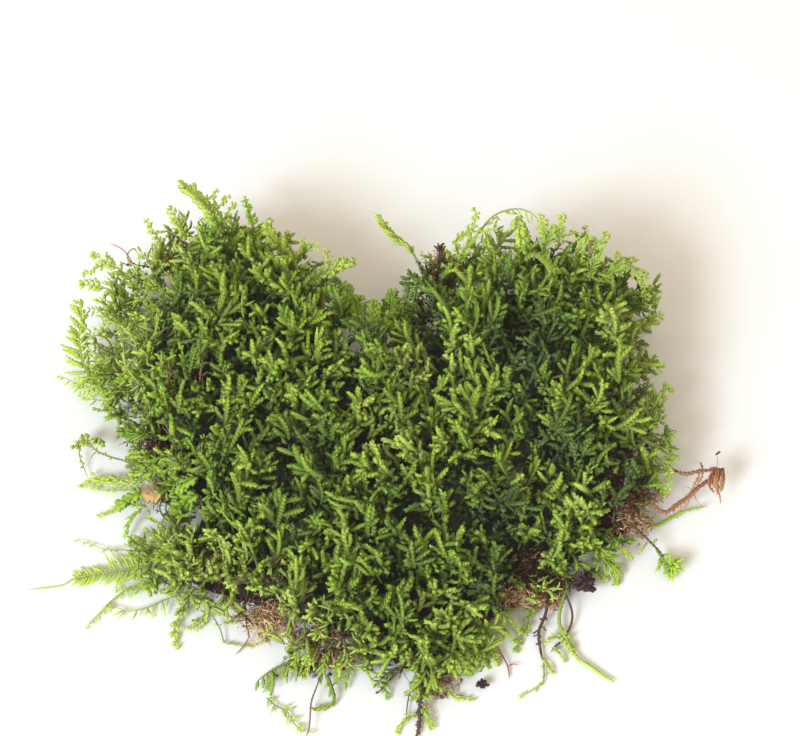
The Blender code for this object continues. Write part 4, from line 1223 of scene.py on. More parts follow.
@dataclass
class DeadMat:
    """The brown mat under the shoots: humus with a frayed edge, fibres and crumbs."""

    edge: Outline = CUSHION_EDGE
    inset: float = 2.4
    height: float = 2.6
    spacing: float = 0.8
    seed: int = 8
    rim_fibres: int = 900
    leafy: float = 0.45  # share of the fibres that still carry withered leaves
    crumbs: int = 420
    ledges: tuple[Patch, ...] = (
        (32.5, -8, 5, 2.4), (19, -18.5, 5.5, 2.8), (-31.5, 1, 3.5, 1), (-13, -23, 5, -1.2),
        (9, -29.5, 4, 1), (-36, 15, 7, -3.2), (-29, -14, 6, -3), (-5, -27.5, 6, -2.2),
    )
    tangles: tuple[Tangle, ...] = (
        Tangle((31.8, -3.8, 6.2), (3, 3, 1.8), 640, 1.2, (0.2, -0.3, -0.2), 0.14, 0.05),
        Tangle((32.2, -6.2, 4.8), (2.8, 2.4, 1.8), 560, 1.3, (0.4, -0.3, -0.1), 0.36, 0.05),
        Tangle((33.6, -8.6, 2.4), (2.4, 2, 1.4), 340, 1.4, (0.5, -0.2, 0), 0.85, 0.045),
        Tangle((17.2, -18.8, 2.2), (5, 1.4, 1.2), 420, 2, (0.8, 0, 0), 0.75),
        Tangle((22.6, -17.2, 1.8), (1.6, 1, 0.8), 160, 1.6, (0.4, 0, 0), 0.25),
        Tangle((21.8, -19.2, 1.2), (1.8, 0.9, 0.6), 130, 1.8, (0.6, 0, 0), 0.9),
        Tangle((-14.4, -22, 2), (3.2, 2.4, 1.3), 520, 2.2, (0.1, -0.5, -0.1), 1.15, 0.042),
        Tangle((-7, -24.6, 3.2), (4.4, 2, 1), 260, 1.6, (0, -0.3, 0.1), 0.55, 0.05),
        Tangle((-21.5, -15, 2.8), (2.2, 2, 0.6), 150, 2, (0, 0, 0), 0.9),
        Tangle((19.5, -14.5, 3.4), (3, 2, 1.2), 150, 2, (0, 0, 0), 0.15),
        Tangle((-30.6, 1.6, 4.6), (2.2, 2.4, 2.2), 200, 1.8, (0, 0, 0.2), 0.3),
        Tangle((-28.5, -5, 2.8), (2.6, 2, 1), 100, 1.8, (0, 0, 0), 0.4),
        Tangle((-6, -27, 1.4), (3, 1.6, 1), 180, 2, (0, -0.4, 0), 0.9),
        Tangle((-9.4, -28.2, 1.2), (2.4, 1.4, 0.7), 160, 1.6, (0.2, -0.4, 0), 0.45),
        Tangle((7, -30.4, 1), (2.6, 2.2, 0.7), 180, 1.8, (0.2, -0.3, 0), 0.7),
        Tangle((7.8, 24.4, 12), (2, 2.2, 2.8), 240, 1.5, (0, 0.3, 0.5), 0.16, 0.05),
        Tangle((-29.5, 27, 11), (2.8, 2.2, 1.8), 90, 2.2, (-0.3, 0.5, 0.2), 0.3),
        Tangle((-27.5, 9, 9), (3, 4, 1.6), 120, 1.8, (0, 0, 0.3), 0.6),
        Tangle((35.5, 6, 5), (1.2, 9, 2.6), 140, 1.8, (0.4, 0, 0), 0.5),
    )

    def humus(self, skin: Skin) -> None:
        """Adds the humus: a low mound whose side rises steeply, uneven on top."""
        line = self.edge.line
        reach = swellings(line, self.ledges)
        moved = line + self.edge.outward(line) * (reach - self.inset)[:, None]
        side = Outline(tuple(map(tuple, evenly(moved, 90, closed=True))))

        def top(xy: Array, depth: Array) -> Array:
            """Height at the points."""
            rise = np.clip(depth / 1.2, 0, 1)
            rough = 0.35 * ripple(xy, 1.4, self.seed) * rise
            return 0.02 + (self.height - 0.5) * np.sqrt(rise * (2 - rise)) + rough

        mound(skin, side, 0.0, self.spacing, top, 0.02)

    def fibres(self, skin: Skin) -> None:
        """Adds the fibres of the tangles and those all round the mat's edge."""
        chance = np.random.default_rng(self.seed)
        groups = [self.tangle(tangle, chance) for tangle in self.tangles]
        ring = self.edge.ring(0.4)
        pick = chance.integers(0, len(ring), self.rim_fibres)
        out = self.edge.outward(ring[pick])
        around = np.column_stack([-out[:, 1], out[:, 0]])
        place = ring[pick] - out * chance.uniform(0.5, 5.5, (self.rim_fibres, 1))
        heading = out * chance.normal(0.3, 0.5, (self.rim_fibres, 1))
        heading += around * chance.normal(0, 0.9, (self.rim_fibres, 1))
        groups.append(self.strands(
            np.column_stack([place, chance.uniform(0.2, 2.4, self.rim_fibres)]),
            np.column_stack([heading, chance.normal(0, 0.2, self.rim_fibres)]),
            chance.uniform(1.2, 3.0, self.rim_fibres), np.full(self.rim_fibres, 0.055),
            chance.uniform(0.1, 0.9, self.rim_fibres), chance))
        strands = Branchlets.joined(groups)
        leafy = chance.random(len(strands.length)) < self.leafy
        strands.kept(~leafy).grow(skin, FIBRE, least=3, most=9)
        moss = strands.kept(leafy)
        moss.length *= 0.7
        moss.radius *= 1.9
        moss.grow(skin, FRAY, least=3, most=9)

    def tangle(self, tangle: Tangle, chance: np.random.Generator) -> Branchlets:
        """The fibres of one tangle, thickest at its middle."""
        count = tangle.count
        start = np.array(tangle.centre) + chance.normal(0, 0.5, (count, 3)) * tangle.spread
        start[:, 2] = np.maximum(start[:, 2], 0.12)
        heading = np.array(tangle.heading) + chance.normal(0, 0.55, (count, 3)) * (1, 1, 0.5)
        return self.strands(
            start, heading, tangle.length * chance.uniform(0.4, 1.1, count),
            tangle.radius * chance.uniform(0.6, 1.5, count),
            np.clip(tangle.tone + chance.normal(0, 0.22, count), 0.02, 0.98), chance)

    def strands(
        self, start: Array, heading: Array, length: Array, radius: Array, tone: Array,
        chance: np.random.Generator,
    ) -> Branchlets:
        """Curved strands, their middles at the given points."""
        count = len(start)
        direction = unit(heading)
        return Branchlets(
            foot=start - direction * length[:, None] / 2, heading=direction,
            bend=chance.normal(0, 0.9, (count, 3)) * (1, 1, 0.6), length=length, radius=radius,
            age_foot=np.full(count, 0.1), age_tip=chance.uniform(0.5, 1.0, count), tone=tone,
            side=unit(np.cross(direction, UP) + 1e-3))

    def crumble(self, skin: Skin) -> None:
        """Adds crumbs of soil on and round the mat's edge."""
        chance = np.random.default_rng(self.seed + 1)
        spots = [chance.normal(0, 0.6, (self.crumbs // len(self.tangles), 3)) * t.spread + t.centre
                 for t in self.tangles]
        centre = np.concatenate(spots)
        size = chance.uniform(0.1, 0.36, len(centre))
        centre[:, 2] = np.maximum(centre[:, 2], size * 0.7)
        lumps(skin, centre, size, chance.uniform(0.05, 0.7, len(centre)), chance)

    def build(self) -> None:
        """Makes the humus and the loose growth on it."""
        body, growth = Skin(), Skin()
        self.humus(body)
        self.fibres(growth)
        self.crumble(growth)
        body.piece("dead_mat", HUMUS, "brown_moss", "brown_underlayer")
        growth.piece("dead_fibres", DEAD, "brown_moss", "brown_underlayer")


def lumps(skin: Skin, centre: Array, size: Array, tone: Array, chance: np.random.Generator) -> None:
    """Adds small jagged lumps: short stout tubes whose rings are squeezed by chance."""
    count = len(centre)
    axis = unit(chance.normal(size=(count, 3)))
    t = np.array([-1.0, -0.62, 0.1, 0.68, 1.0])
    lines = centre[:, None] + axis[:, None] * (t[None, :] * size[:, None])[..., None]
    radius = size[:, None] * np.array([0.75, 1.0, 0.7]) * chance.uniform(0.6, 1.1, (count, 3))
    ages = chance.uniform(0.0, 1.0, (count, 1)) * np.ones(5)
    side = unit(np.cross(axis, unit(chance.normal(size=(count, 3)))))
    leafy_tubes(skin, lines, radius, ages, tone, side, CRUMB)


# ---------------------------------------------------------------- shoots that leave the clump


class Sides(Enum):
    """Ranks in which a free shoot carries branchlets.

    Each is its share of leftward and upward, and the length of that pair scales its branchlets.
    """

    BOTH = ((1.0, 0.0), (-1.0, 0.0))
    LEFT = ((1.0, 0.0),)
    RIGHT = ((-1.0, 0.0),)
    UNEVEN = ((1.0, 0.0), (-0.55, 0.0))
    ROUND = ((1.0, 0.0), (-1.0, 0.0), (0.3, 0.9))
    WHORL = ((1.0, 0.0), (0.5, 0.85), (-0.5, 0.85), (-1.0, 0.0), (-0.5, -0.85), (0.5, -0.85))


@dataclass(frozen=True)
class Style:
    """How the stem and the branchlets of a free shoot look."""

    stem: Leafing = FINE
    core: float = 0.6  # the stem's radius without its leaves, as a share of half the girth
    branchlet: Leafing = PINNA
    radius: float = 0.24
    angle: float = 62.0  # of a branchlet to the stem, in degrees
    youth: tuple[float, float] = (0.25, 1.0)  # ages of the stem at its root and its tip
    closing: float = 14.0  # how much smaller the angle is near the tip
    scatter: float = 8.0  # spread of the angle


FEATHER = Style()
SLIM = Style(branchlet=LEAFLET, radius=0.17, angle=70.0, core=0.5)
BRUSH = Style(branchlet=LEAFLET, radius=0.18, angle=36.0, core=0.5)
STOUT = Style(branchlet=BRANCHLET, radius=0.24, angle=52.0, core=0.6)
WIRE = Style(stem=BARE, core=0.75, radius=0.1)
KNOTTY = Style(stem=SCALY, core=0.6, branchlet=FIBRE, radius=0.07, angle=60.0, youth=(0.1, 0.7))


@dataclass(frozen=True)
class Frond:
    """A free shoot: its route from root to tip, its stem and its branchlets."""

    route: tuple[Point, ...]
    girth: float  # thickness of the stem, leaves and all, at the root
    branchlet: float = 0.0  # longest branchlet
    pitch: float = 1.0  # from one branchlet to the next on one side
    start: float = 0.0  # share of the stem that carries branchlets
    stop: float = 1.0
    roll: float = 0.0  # turn of the frond about its stem, in degrees, 0 lying flat
    sides: Sides = Sides.BOTH
    tone: float = 0.76
    taper: float = 0.5
    style: Style = FEATHER
    profile: tuple[float, float] = (0.2, 0.66)  # start and length of the sine, in half turns

    def build(self, skin: Skin, chance: np.random.Generator) -> None:
        """Adds the stem and its branchlets.

        The stem is a leafy tube along the route, which thins towards its tip. A branchlet's length
        follows the profile's sine along the part that carries them, and it leaves at the style's
        angle.
        """
        style = self.style
        curve = through(np.array(self.route))
        total = length_of(curve)
        rings = max(4, round(total / style.stem.step))
        line = evenly(curve, rings + 2)
        t = np.linspace(0, 1, rings + 2)
        core = self.girth / 2 * style.core
        radius = core * (1 - self.taper * t[1:-1]) * bud(t[1:-1], 0.8)
        line = rest_on_floor(line, np.full(len(line), core))
        along = unit(np.gradient(line, axis=0))
        flat = unit(np.cross(UP, along) + 1e-6)
        over = np.cross(along, flat)
        turn = math.radians(self.roll)
        left = flat * math.cos(turn) + over * math.sin(turn)
        above = np.cross(along, left)
        root, tip = style.youth
        leafy_tubes(skin, line[None], radius[None], (root + (tip - root) * t)[None],
                    np.array([self.tone]), over[:1], style.stem)
        if self.branchlet == 0:
            return
        pairs = max(2, round(total * (self.stop - self.start) / self.pitch))
        groups = []
        for number, (leftward, upward) in enumerate(self.sides.value):
            part = np.linspace(0, 1, pairs) + chance.normal(0, 0.25, pairs) / pairs
            part = np.clip(part + 0.5 * number / pairs, 0, 1)
            at = (self.start + (self.stop - self.start) * part) * (len(line) - 1)
            low = np.minimum(at.astype(int), len(line) - 2)
            share = (at - low)[:, None]
            foot = line[low] * (1 - share) + line[low + 1] * share
            forward = along[low]
            across = unit(leftward * left[low] + upward * above[low])
            angle = style.angle - style.closing * part + chance.normal(0, style.scatter, pairs)
            angle = np.radians(angle)[:, None]
            heading = np.cos(angle) * forward + np.sin(angle) * across
            heading += chance.normal(0, 0.18, (pairs, 3))
            first, width = self.profile
            length = self.branchlet * np.sin(np.pi * (first + width * part)) ** 0.8
            length *= math.hypot(leftward, upward)
            length = np.maximum(length * chance.uniform(0.7, 1.15, pairs), 0.5)
            young = root + (tip - root) * (0.35 + 0.4 * part)
            groups.append(Branchlets(
                foot=foot, heading=unit(heading),
                bend=0.4 * forward + chance.normal(0, 0.2, (pairs, 3)), length=length,
                radius=style.radius * chance.uniform(0.85, 1.15, pairs), age_foot=young,
                age_tip=np.full(pairs, max(tip, 0.8)),
                tone=np.clip(self.tone + chance.normal(0, 0.03, pairs), 0, 1), side=over[low]))
        Branchlets.joined(groups).grow(skin, style.branchlet, least=2)


def alike(routes: tuple[tuple[Point, ...], ...], *sizes: float, **looks: object) -> list[Frond]:
    """Free shoots that differ only in their routes."""
    return [Frond(route, *sizes, **looks) for route in routes]


DEEP = 0.5  # tones of the free shoots, the others between them
MIXED = 0.62
OLIVE = 0.84

LEFT_SHOOTS: dict[str, Frond] = {
    "shoot_left_upper_outer": Frond(((-33.5, 24.3, 8), (-36, 26.7, 9), (-38, 27.9, 9.6),
        (-39.9, 28.7, 10)), 0.5, 1.5, 0.7),
    "shoot_left_upper_middle": Frond(((-34.3, 23.3, 6.6), (-37.1, 24.7, 7), (-39.3, 25.2, 7.5),
        (-41.7, 25.3, 8)), 0.46, 1.5, 0.7),
    "stem_left_arch": Frond(((-36.9, 14.6, 5), (-37, 16.2, 6.2), (-38, 17.3, 7), (-39.7, 17.6, 6.8),
        (-41, 16.6, 6)), 0.3, tone=0.9),
    "frond_left": Frond(((-36.5, 9.5, 4), (-40, 13, 3.8), (-41, 14.6, 4.2), (-41.5, 16.3, 4.8),
        (-41.8, 18.2, 5.4), (-41.6, 20.3, 6.2), (-41.6, 21.7, 6.8), (-42.1, 23, 7.6)), 0.5, 3.4,
        0.6, 0.12, 0.97, -10, sides=Sides.UNEVEN, style=Style(radius=0.27, angle=68),
        profile=(0.42, 0.5)),
    "frond_left_low": Frond(((-35.5, 9, 3.5), (-37.8, 10.5, 3.2), (-40.1, 11.8, 2.6),
        (-42.5, 13, 2.2), (-44.6, 14.1, 2)), 0.42, 1.8, 0.8, sides=Sides.LEFT, style=SLIM),
    "shoot_left_floor_back": Frond(((-31.6, -2.6, 2.4), (-34.4, -2.2, 1.6), (-37, -1.7, 1),
        (-39, -1.6, 0.8), (-40.4, -2.1, 0.6)), 0.6, 1.5, 0.4, sides=Sides.ROUND, style=BRUSH),
    "shoot_left_floor_middle": Frond(((-31, -6, 2.2), (-34, -5.2, 1.2), (-35.6, -5.7, 0.8),
        (-37.7, -6.6, 0.5)), 0.45, 1.3, 0.6, style=BRUSH),
    "shoot_left_floor_front": Frond(((-30.6, -12.5, 1.8), (-34.2, -11.8, 1), (-36.5, -11.5, 0.6),
        (-38.6, -10.7, 0.5), (-40.5, -10.1, 0.4)), 0.3, 0.9, 1.1, sides=Sides.LEFT, style=SLIM),
    "frond_front_left_long": Frond(((-28.2, -14.4, 2.2), (-31.6, -14.5, 1.4), (-34, -14.7, 1),
        (-36.6, -15, 0.8), (-38.9, -15.4, 0.6), (-40.5, -15.8, 0.5), (-41.7, -16.6, 0.4),
        (-43.4, -16.9, 0.3), (-46.2, -17.2, 0.3)), 0.4, 3, 0.46, 0, 0.64,
        style=Style(branchlet=LEAFLET, radius=0.2, angle=70, core=0.5), profile=(0.36, 0.5)),
    "frond_front_left_fork": Frond(((-30.5, -17.4, 1.6), (-32.7, -17.3, 1.2), (-33.7, -17.8, 0.9),
        (-35.3, -19.1, 0.6), (-36.5, -20.5, 0.5), (-38.2, -22.4, 0.4)), 0.42, 1.2, 0.85,
        sides=Sides.LEFT, style=SLIM),
    "frond_front_left_inner": Frond(((-25.8, -18.4, 1.8), (-28.1, -19, 1.2), (-30.3, -19.9, 0.8),
        (-32.3, -20.3, 0.6), (-34.3, -19.9, 0.6), (-35.9, -19.4, 0.6)), 0.36, 2.2, 0.85, 0, 0.95,
        sides=Sides.LEFT, style=SLIM),
    "shoot_front_left": Frond(((-25.1, -20, 1.4), (-26.3, -21.7, 0.8), (-26.7, -23.2, 0.5),
        (-26.2, -25, 0.4)), 0.42, 1, 0.8),
    "stem_front_left_loop": Frond(((-21.9, -21, 1.2), (-20.8, -22.8, 0.8), (-20.1, -24.5, 0.4),
        (-18.8, -24.8, 0.4), (-17.5, -25.1, 0.4), (-15.9, -24.8, 0.4), (-14.3, -23.7, 0.5),
        (-13, -22.7, 0.8), (-12.2, -21.6, 1.4)), 0.32, 0.7, 1.8, tone=OLIVE, style=SLIM),
}
LEFT_LOOSE: tuple[Frond, ...] = (
    Frond(((-38, 27.9, 9.6), (-39.7, 27.3, 9), (-41.2, 26.6, 8.6)), 0.34, 0.9, 0.8),
    Frond(((-34.7, 27.3, 9), (-35.3, 28.7, 10), (-34.5, 29.6, 10.4), (-33.7, 28.8, 10)), 0.34),
    Frond(((-32.2, 22, 6), (-35.2, 22.9, 6.4), (-38, 22.7, 6.2), (-40.5, 22.5, 6)), 0.4, 2.2, 0.8,
        sides=Sides.UNEVEN, style=SLIM),
    Frond(((-32.1, 18.9, 5), (-35.2, 20.4, 5.2), (-38.6, 21, 5)), 0.4, 1.7, 0.8, style=SLIM),
    Frond(((-36.1, 10, 3), (-38.9, 10, 2.4), (-41.5, 10.9, 2)), 0.4, 1.5, 0.8, style=SLIM),
    Frond(((-34, 12.5, 4), (-36.8, 13.4, 4.2), (-39.4, 15.4, 4)), 0.4, 1.9, 0.8, style=SLIM),
    Frond(((-34.5, 17, 5), (-37, 18.6, 5.6), (-39.6, 19, 5.6)), 0.4, 1.8, 0.8, style=SLIM),
    Frond(((-27.5, -16.5, 1.8), (-30.1, -17.1, 1.2), (-32.5, -17.5, 0.8), (-34.4, -17.4, 0.6)),
        0.42, 1.3, 0.7, style=SLIM),
    Frond(((-26.9, -12.2, 2.4), (-30.2, -11.6, 1.8), (-32.9, -10.6, 1.4)), 0.45, 1.4, 0.7),
    Frond(((-22.7, -20.8, 1.4), (-23.4, -21.9, 0.8), (-24.7, -22.6, 0.5)), 0.45, 1, 0.7),
    Frond(((-32.3, -3.4, 2), (-35.1, -3.1, 1.2), (-37.5, -2.9, 0.7), (-39.6, -2.2, 0.5)), 0.36, 0.9,
        0.9, style=BRUSH),
    Frond(((-32.6, -2, 2.6), (-35.4, -1.6, 1.8), (-37.7, -1.3, 1.2), (-39.1, -0.6, 0.9)), 0.36, 0.9,
        0.9, style=BRUSH),
    Frond(((-24.4, -3.2, 5.6), (-26.4, -3.8, 5), (-28.4, -4, 4)), 0.6, 2, 0.5, tone=0.5,
        style=STOUT),
    Frond(((-24, -5.4, 5), (-25.8, -6.4, 4.2), (-27.2, -7, 3)), 0.6, 1.9, 0.5, tone=0.45,
        style=STOUT),
    Frond(((-25, -1.2, 6), (-27.2, -1.4, 5.4), (-29.2, -1.6, 4.4)), 0.6, 1.9, 0.5, tone=0.5,
        style=STOUT),
    Frond(((-29, -5, 3), (-29.4, -6.4, 2.4), (-28.6, -7.6, 1.6), (-27, -7.8, 1.2)), 0.34, tone=0.3),
    Frond(((-27.8, -5.2, 3), (-28.6, -6.3, 2.6), (-28.1, -7.4, 1.8), (-26.4, -7, 1.6)), 0.34,
        tone=0.3),
    Frond(((-29.6, 0.6, 3.8), (-31.6, 1, 3.4), (-33.6, 1.4, 2.8)), 0.6, 1.7, 0.5, tone=0.5,
        style=STOUT),
    Frond(((-29.4, -1.2, 3.6), (-31.4, -1.2, 3), (-33.2, -1, 2.4)), 0.6, 1.7, 0.5, tone=0.55,
        style=STOUT),
    Frond(((-31.6, -4.2, 3.4), (-33.2, -5, 2.8), (-34.6, -5.8, 2.2)), 0.6, 1.6, 0.5, tone=0.5,
        style=STOUT),
    Frond(((-31.6, -6.4, 2.6), (-33.2, -7.8, 2), (-33.9, -9.6, 1.2)), 0.5, 1.4, 0.5, tone=0.6,
        style=BRUSH),
    Frond(((-41.9, 2.6, 2), (-40.8, 3.5, 2.2), (-39.2, 3.7, 2.4), (-38, 3.2, 2.4)), 0.5, 1, 0.6,
        tone=0.8, style=STOUT),
)
FRONT_SHOOTS: dict[str, Frond] = {
    "shoot_front_tuft": Frond(((-9.7, -27.6, 2), (-11.9, -27.8, 1.4), (-13.8, -28.6, 1),
        (-15.5, -29.8, 0.8)), 0.5, 3.2, 0.55, sides=Sides.LEFT, tone=0.56,
        style=Style(radius=0.22, angle=76, youth=(0.1, 0.62))),
    "stem_front_trailing": Frond(((-14.6, -32, 0.6), (-13.3, -33.1, 0.5), (-11.8, -34, 0.5),
        (-10.7, -35.7, 0.5), (-9.4, -36.6, 0.5), (-7.9, -36.6, 0.5)), 0.4, 1.5, 0.9, 0, 0.75,
        style=SLIM),
    "sprig_front": Frond(((-6.8, -29.4, 1.8), (-6.1, -31.3, 1.2), (-5.9, -32.6, 0.9),
        (-6.9, -33.5, 0.7), (-8.4, -33.8, 0.6)), 0.7, 1.3, 0.5, sides=Sides.RIGHT, tone=0.6,
        style=Style(radius=0.16, angle=34, youth=(0.15, 0.75))),
    "shoot_front_tip": Frond(((7.4, -30.2, 1.5), (9.1, -31.9, 0.8), (10.4, -32.2, 0.5),
        (11.6, -32.4, 0.5)), 0.5, 1, 0.6, style=BRUSH),
    "stem_front_right_olive": Frond(((19.8, -19.2, 1.8), (18.9, -22.3, 0.8), (18, -23.9, 0.5),
        (17.5, -25.6, 0.4)), 0.42, 1, 0.9, tone=DEEP),
    "shoot_front_right_bright": Frond(((24, -16.6, 2.6), (24.2, -17.8, 2.2), (23.5, -19.5, 1.6),
        (23.1, -22, 1), (24, -24.4, 0.8), (25.2, -26.7, 0.6), (26.8, -27.9, 0.5),
        (28.3, -29.1, 0.5), (29.8, -30, 0.5)), 0.58, 1.1, 0.6, 0.4, 0.6, tone=0.78, taper=0.1),
}
FRONT_LOOSE: tuple[Frond, ...] = (
    Frond(((11.5, -21.5, 3), (12.5, -23.4, 1.8), (13.7, -25.2, 1), (14.9, -27.1, 0.6)), 0.75, 1.2,
        0.6, style=STOUT),
    Frond(((14.8, -20.9, 2.4), (15.7, -22.6, 1.4), (16.9, -24.4, 0.8)), 0.55, 1.4, 0.5, tone=OLIVE,
        sides=Sides.ROUND, style=BRUSH),
    Frond(((15.4, -21.2, 2.4), (17, -22.2, 1.4), (18, -23.3, 0.8)), 0.5, 1.2, 0.5, tone=OLIVE,
        sides=Sides.ROUND, style=BRUSH),
    Frond(((6, -33, 1), (5.8, -34.6, 0.8), (6.3, -36.1, 0.5)), 0.5, 0.9, 0.6, style=BRUSH),
    Frond(((-3.6, -28, 2), (-4.2, -29.4, 1.2), (-4.4, -30.6, 0.8)), 0.5, 1.3, 0.6, tone=DEEP,
        style=BRUSH),
    Frond(((8.6, -26.4, 3.4), (10, -27.8, 2.2), (11.4, -28.6, 1.2)), 0.6, 1.6, 0.5, tone=0.6,
        style=STOUT),
    Frond(((9.6, -25.2, 3.4), (11.4, -26.4, 2.2), (12.9, -27.2, 1.2)), 0.6, 1.5, 0.5, tone=0.55,
        style=STOUT),
    Frond(((-8, -26, 3.2), (-8.8, -27.8, 2.4), (-9.5, -29.6, 1.4)), 0.55, 1.5, 0.5, tone=0.6,
        style=BRUSH),
    Frond(((-6.6, -26.6, 3), (-7.2, -28.4, 2.2), (-7.6, -30, 1.2)), 0.55, 1.4, 0.5, tone=DEEP,
        style=BRUSH),
    Frond(((-10, -25.8, 2.8), (-10.6, -27.2, 2.2), (-11.2, -28.6, 1.6)), 0.5, 1.3, 0.5, tone=0.6,
        style=BRUSH),
    Frond(((-4.8, -27, 2.8), (-5.4, -28.8, 2), (-5.6, -30.2, 1.2)), 0.5, 1.3, 0.5, tone=0.4,
        style=BRUSH),
)
RIGHT_SHOOTS: dict[str, Frond] = {
    "sprig_right_front": Frond(((28.1, -12.6, 4), (29.5, -13.6, 3), (30.7, -14.7, 1.6),
        (30.8, -16, 0.8)), 0.55, 1.8, 0.5, sides=Sides.ROUND, tone=0.6,
        style=Style(radius=0.16, angle=36)),
    "stem_right_tuft": Frond(((32.6, -9.4, 4.2), (34.2, -10.4, 3.2), (35.4, -11.3, 2.4),
        (36.7, -12.5, 1.8), (37.4, -13.7, 1.4), (37.9, -14.6, 1.2)), 0.5, tone=0.97, taper=0.3,
        style=Style(stem=SCALY, core=0.6, youth=(0.1, 0.7))),
    "shoot_right_green": Frond(((35.2, -5.9, 3.8), (34.3, -7.4, 3), (34.7, -8.3, 2.2),
        (36.4, -8.4, 1.4), (38.2, -7.4, 1), (40.3, -6.2, 0.9), (42.7, -5.6, 0.9)), 0.85, 0.9, 0.7,
        tone=MIXED, taper=0.65, style=BRUSH),
    "sprig_right_arch": Frond(((35.7, 0.1, 6), (36.7, -1, 6.4), (37.8, -2.4, 6), (38.2, -3.7, 5.4),
        (37.8, -4.9, 4.6)), 0.45, 1.1, 0.7),
    "shoot_right_edge_back": Frond(((34.6, 17.6, 8), (36.6, 18.8, 8.6), (38, 19.7, 9)), 0.5, 1.4,
        0.6),
    "shoot_right_edge_middle": Frond(((35.4, 7.2, 6.2), (37.2, 8.2, 6.8), (38.6, 9.1, 7.3)), 0.6,
        1.6, 0.6),
}
RIGHT_LOOSE: tuple[Frond, ...] = (
    Frond(((28.6, -13, 3.6), (31, -12.5, 3), (32.7, -13.1, 2)), 0.5, 1.6, 0.5, style=BRUSH),
    Frond(((28.6, -13.2, 3.4), (30, -14.6, 2), (29.5, -15.8, 0.8)), 0.5, 1.4, 0.5, style=BRUSH),
    # the star of leaves at the end of the thin dark stem, and the leaves on it
    Frond(((37.6, -13.9, 1.25), (38, -14.3, 1.25), (38.2, -14.5, 1.9)), 0.4, 2.5, 0.16, 0.4, 1,
          sides=Sides.WHORL, tone=0.64, style=Style(branchlet=LEAFLET, radius=0.17, angle=78)),
    Frond(((36, -11.9, 2), (37, -13.4, 1.5), (38, -14.8, 1.2)), 0.4, 2.5, 0.3, 0.35, 1,
          sides=Sides.ROUND, tone=0.62, style=Style(branchlet=LEAFLET, radius=0.22, angle=50)),
    Frond(((35.1, -11.3, 2.6), (34.4, -12.1, 2.2), (33.8, -12.7, 1.9)), 0.5, tone=0.8),
    Frond(((35.6, -11.6, 2.3), (36, -11.3, 2.6), (36.3, -11.1, 2.8)), 0.5, tone=0.8),
    Frond(((35.9, -3.2, 5), (36.9, -4.2, 4.6), (37.5, -5.1, 4)), 0.4, 0.9, 0.6),
    Frond(((35.6, 2.5, 6), (36.8, 1.9, 6.6), (38.5, 1, 6.4), (38.2, -0.8, 5.6), (39.2, -0.5, 5.6)),
        0.36, 0.7, 0.8),
    Frond(((35.2, -2, 5), (37, -1.6, 5.4), (38.6, -1, 5.4)), 0.4, 0.9, 0.7),
    Frond(((34, 12.4, 6.4), (35.2, 13, 6.8), (36.2, 13.8, 7)), 0.5, 1.4, 0.6),
    Frond(((34.6, 4.2, 4.6), (35.8, 4.4, 4.4), (36.9, 5.2, 4.2)), 0.45, 1.1, 0.6),
)
BACK_SHOOTS: dict[str, Frond] = {
    "shoot_back_left_tall": Frond(((-21.6, 31, 12), (-23, 32.6, 13.6), (-24.3, 34, 14.5),
        (-26, 35.5, 15.2), (-28.3, 37.2, 15.9)), 0.8, 2, 0.6, 0, 0.86, 25, style=STOUT),
    "shoot_back_left_low": Frond(((-26.8, 29.6, 12.5), (-27.7, 31.1, 14), (-29, 32.6, 15.5)), 0.5,
        1.3, 0.6),
    "shoot_red_tip": Frond(((-30.1, 28.7, 11.5), (-31, 30.1, 12.5), (-32.4, 32, 13.5)), 0.45, 1,
        0.7),
    "frond_right_lobe_arch": Frond(((13.4, 28.6, 16), (14.5, 29.2, 18), (16.1, 29.9, 18.8),
        (18.4, 30.2, 19.1), (20.4, 29.6, 18.8), (21.4, 28.5, 17.8), (21.7, 27, 16.4)), 0.44, 2.2,
        0.8, 0, 0.95, 80, sides=Sides.RIGHT, style=SLIM),
    "sprig_notch": Frond(((5.6, 26.6, 9), (4.3, 28.5, 10.9), (3.3, 29, 12.2), (1.4, 29.9, 13.6),
        (-0.2, 31.4, 15)), 0.6, 2.5, 0.42, 0.3, 1, 30, sides=Sides.UNEVEN,
        style=Style(radius=0.22, angle=38, core=0.5)),
    "shoot_left_lobe_tall": Frond(((-19, 29, 12), (-17.7, 30.6, 13.8), (-18.1, 32.1, 15),
        (-18.7, 33.3, 16.4)), 0.5, 1.4, 0.7, roll=30, tone=DEEP),
    "shoot_left_lobe_notch": Frond(((-11.2, 24, 10.4), (-9.1, 24.2, 11.4), (-6.7, 24.7, 12.6),
        (-4.3, 25.1, 13.8)), 0.7, 1.9, 0.6, style=STOUT),
    "shoot_left_lobe_second": Frond(((-11.7, 27.6, 10.6), (-13.4, 28.6, 11.8), (-15, 29.5, 13.2),
        (-15.6, 30.8, 14.5)), 0.8, 1.7, 0.5, style=STOUT),
    "shoot_right_lobe_back_left": Frond(((10.4, 26.4, 14), (10.2, 27.4, 16), (12.1, 28, 17.6),
        (12.8, 29.4, 18.8), (12.5, 30, 19.1)), 0.45, 0.9, 0.8),
    "shoot_right_lobe_back": Frond(((24, 26.4, 15.4), (24, 28.1, 17.4), (24.3, 29.4, 18.6)), 0.55,
        1.3, 0.6),
    "shoot_right_lobe_corner": Frond(((31.4, 24.6, 13.2), (32.9, 25.6, 14.2), (34.3, 24.3, 13.4),
        (35.6, 22.6, 12.2), (36, 20.6, 10.6)), 0.5, 1.4, 0.7),
}
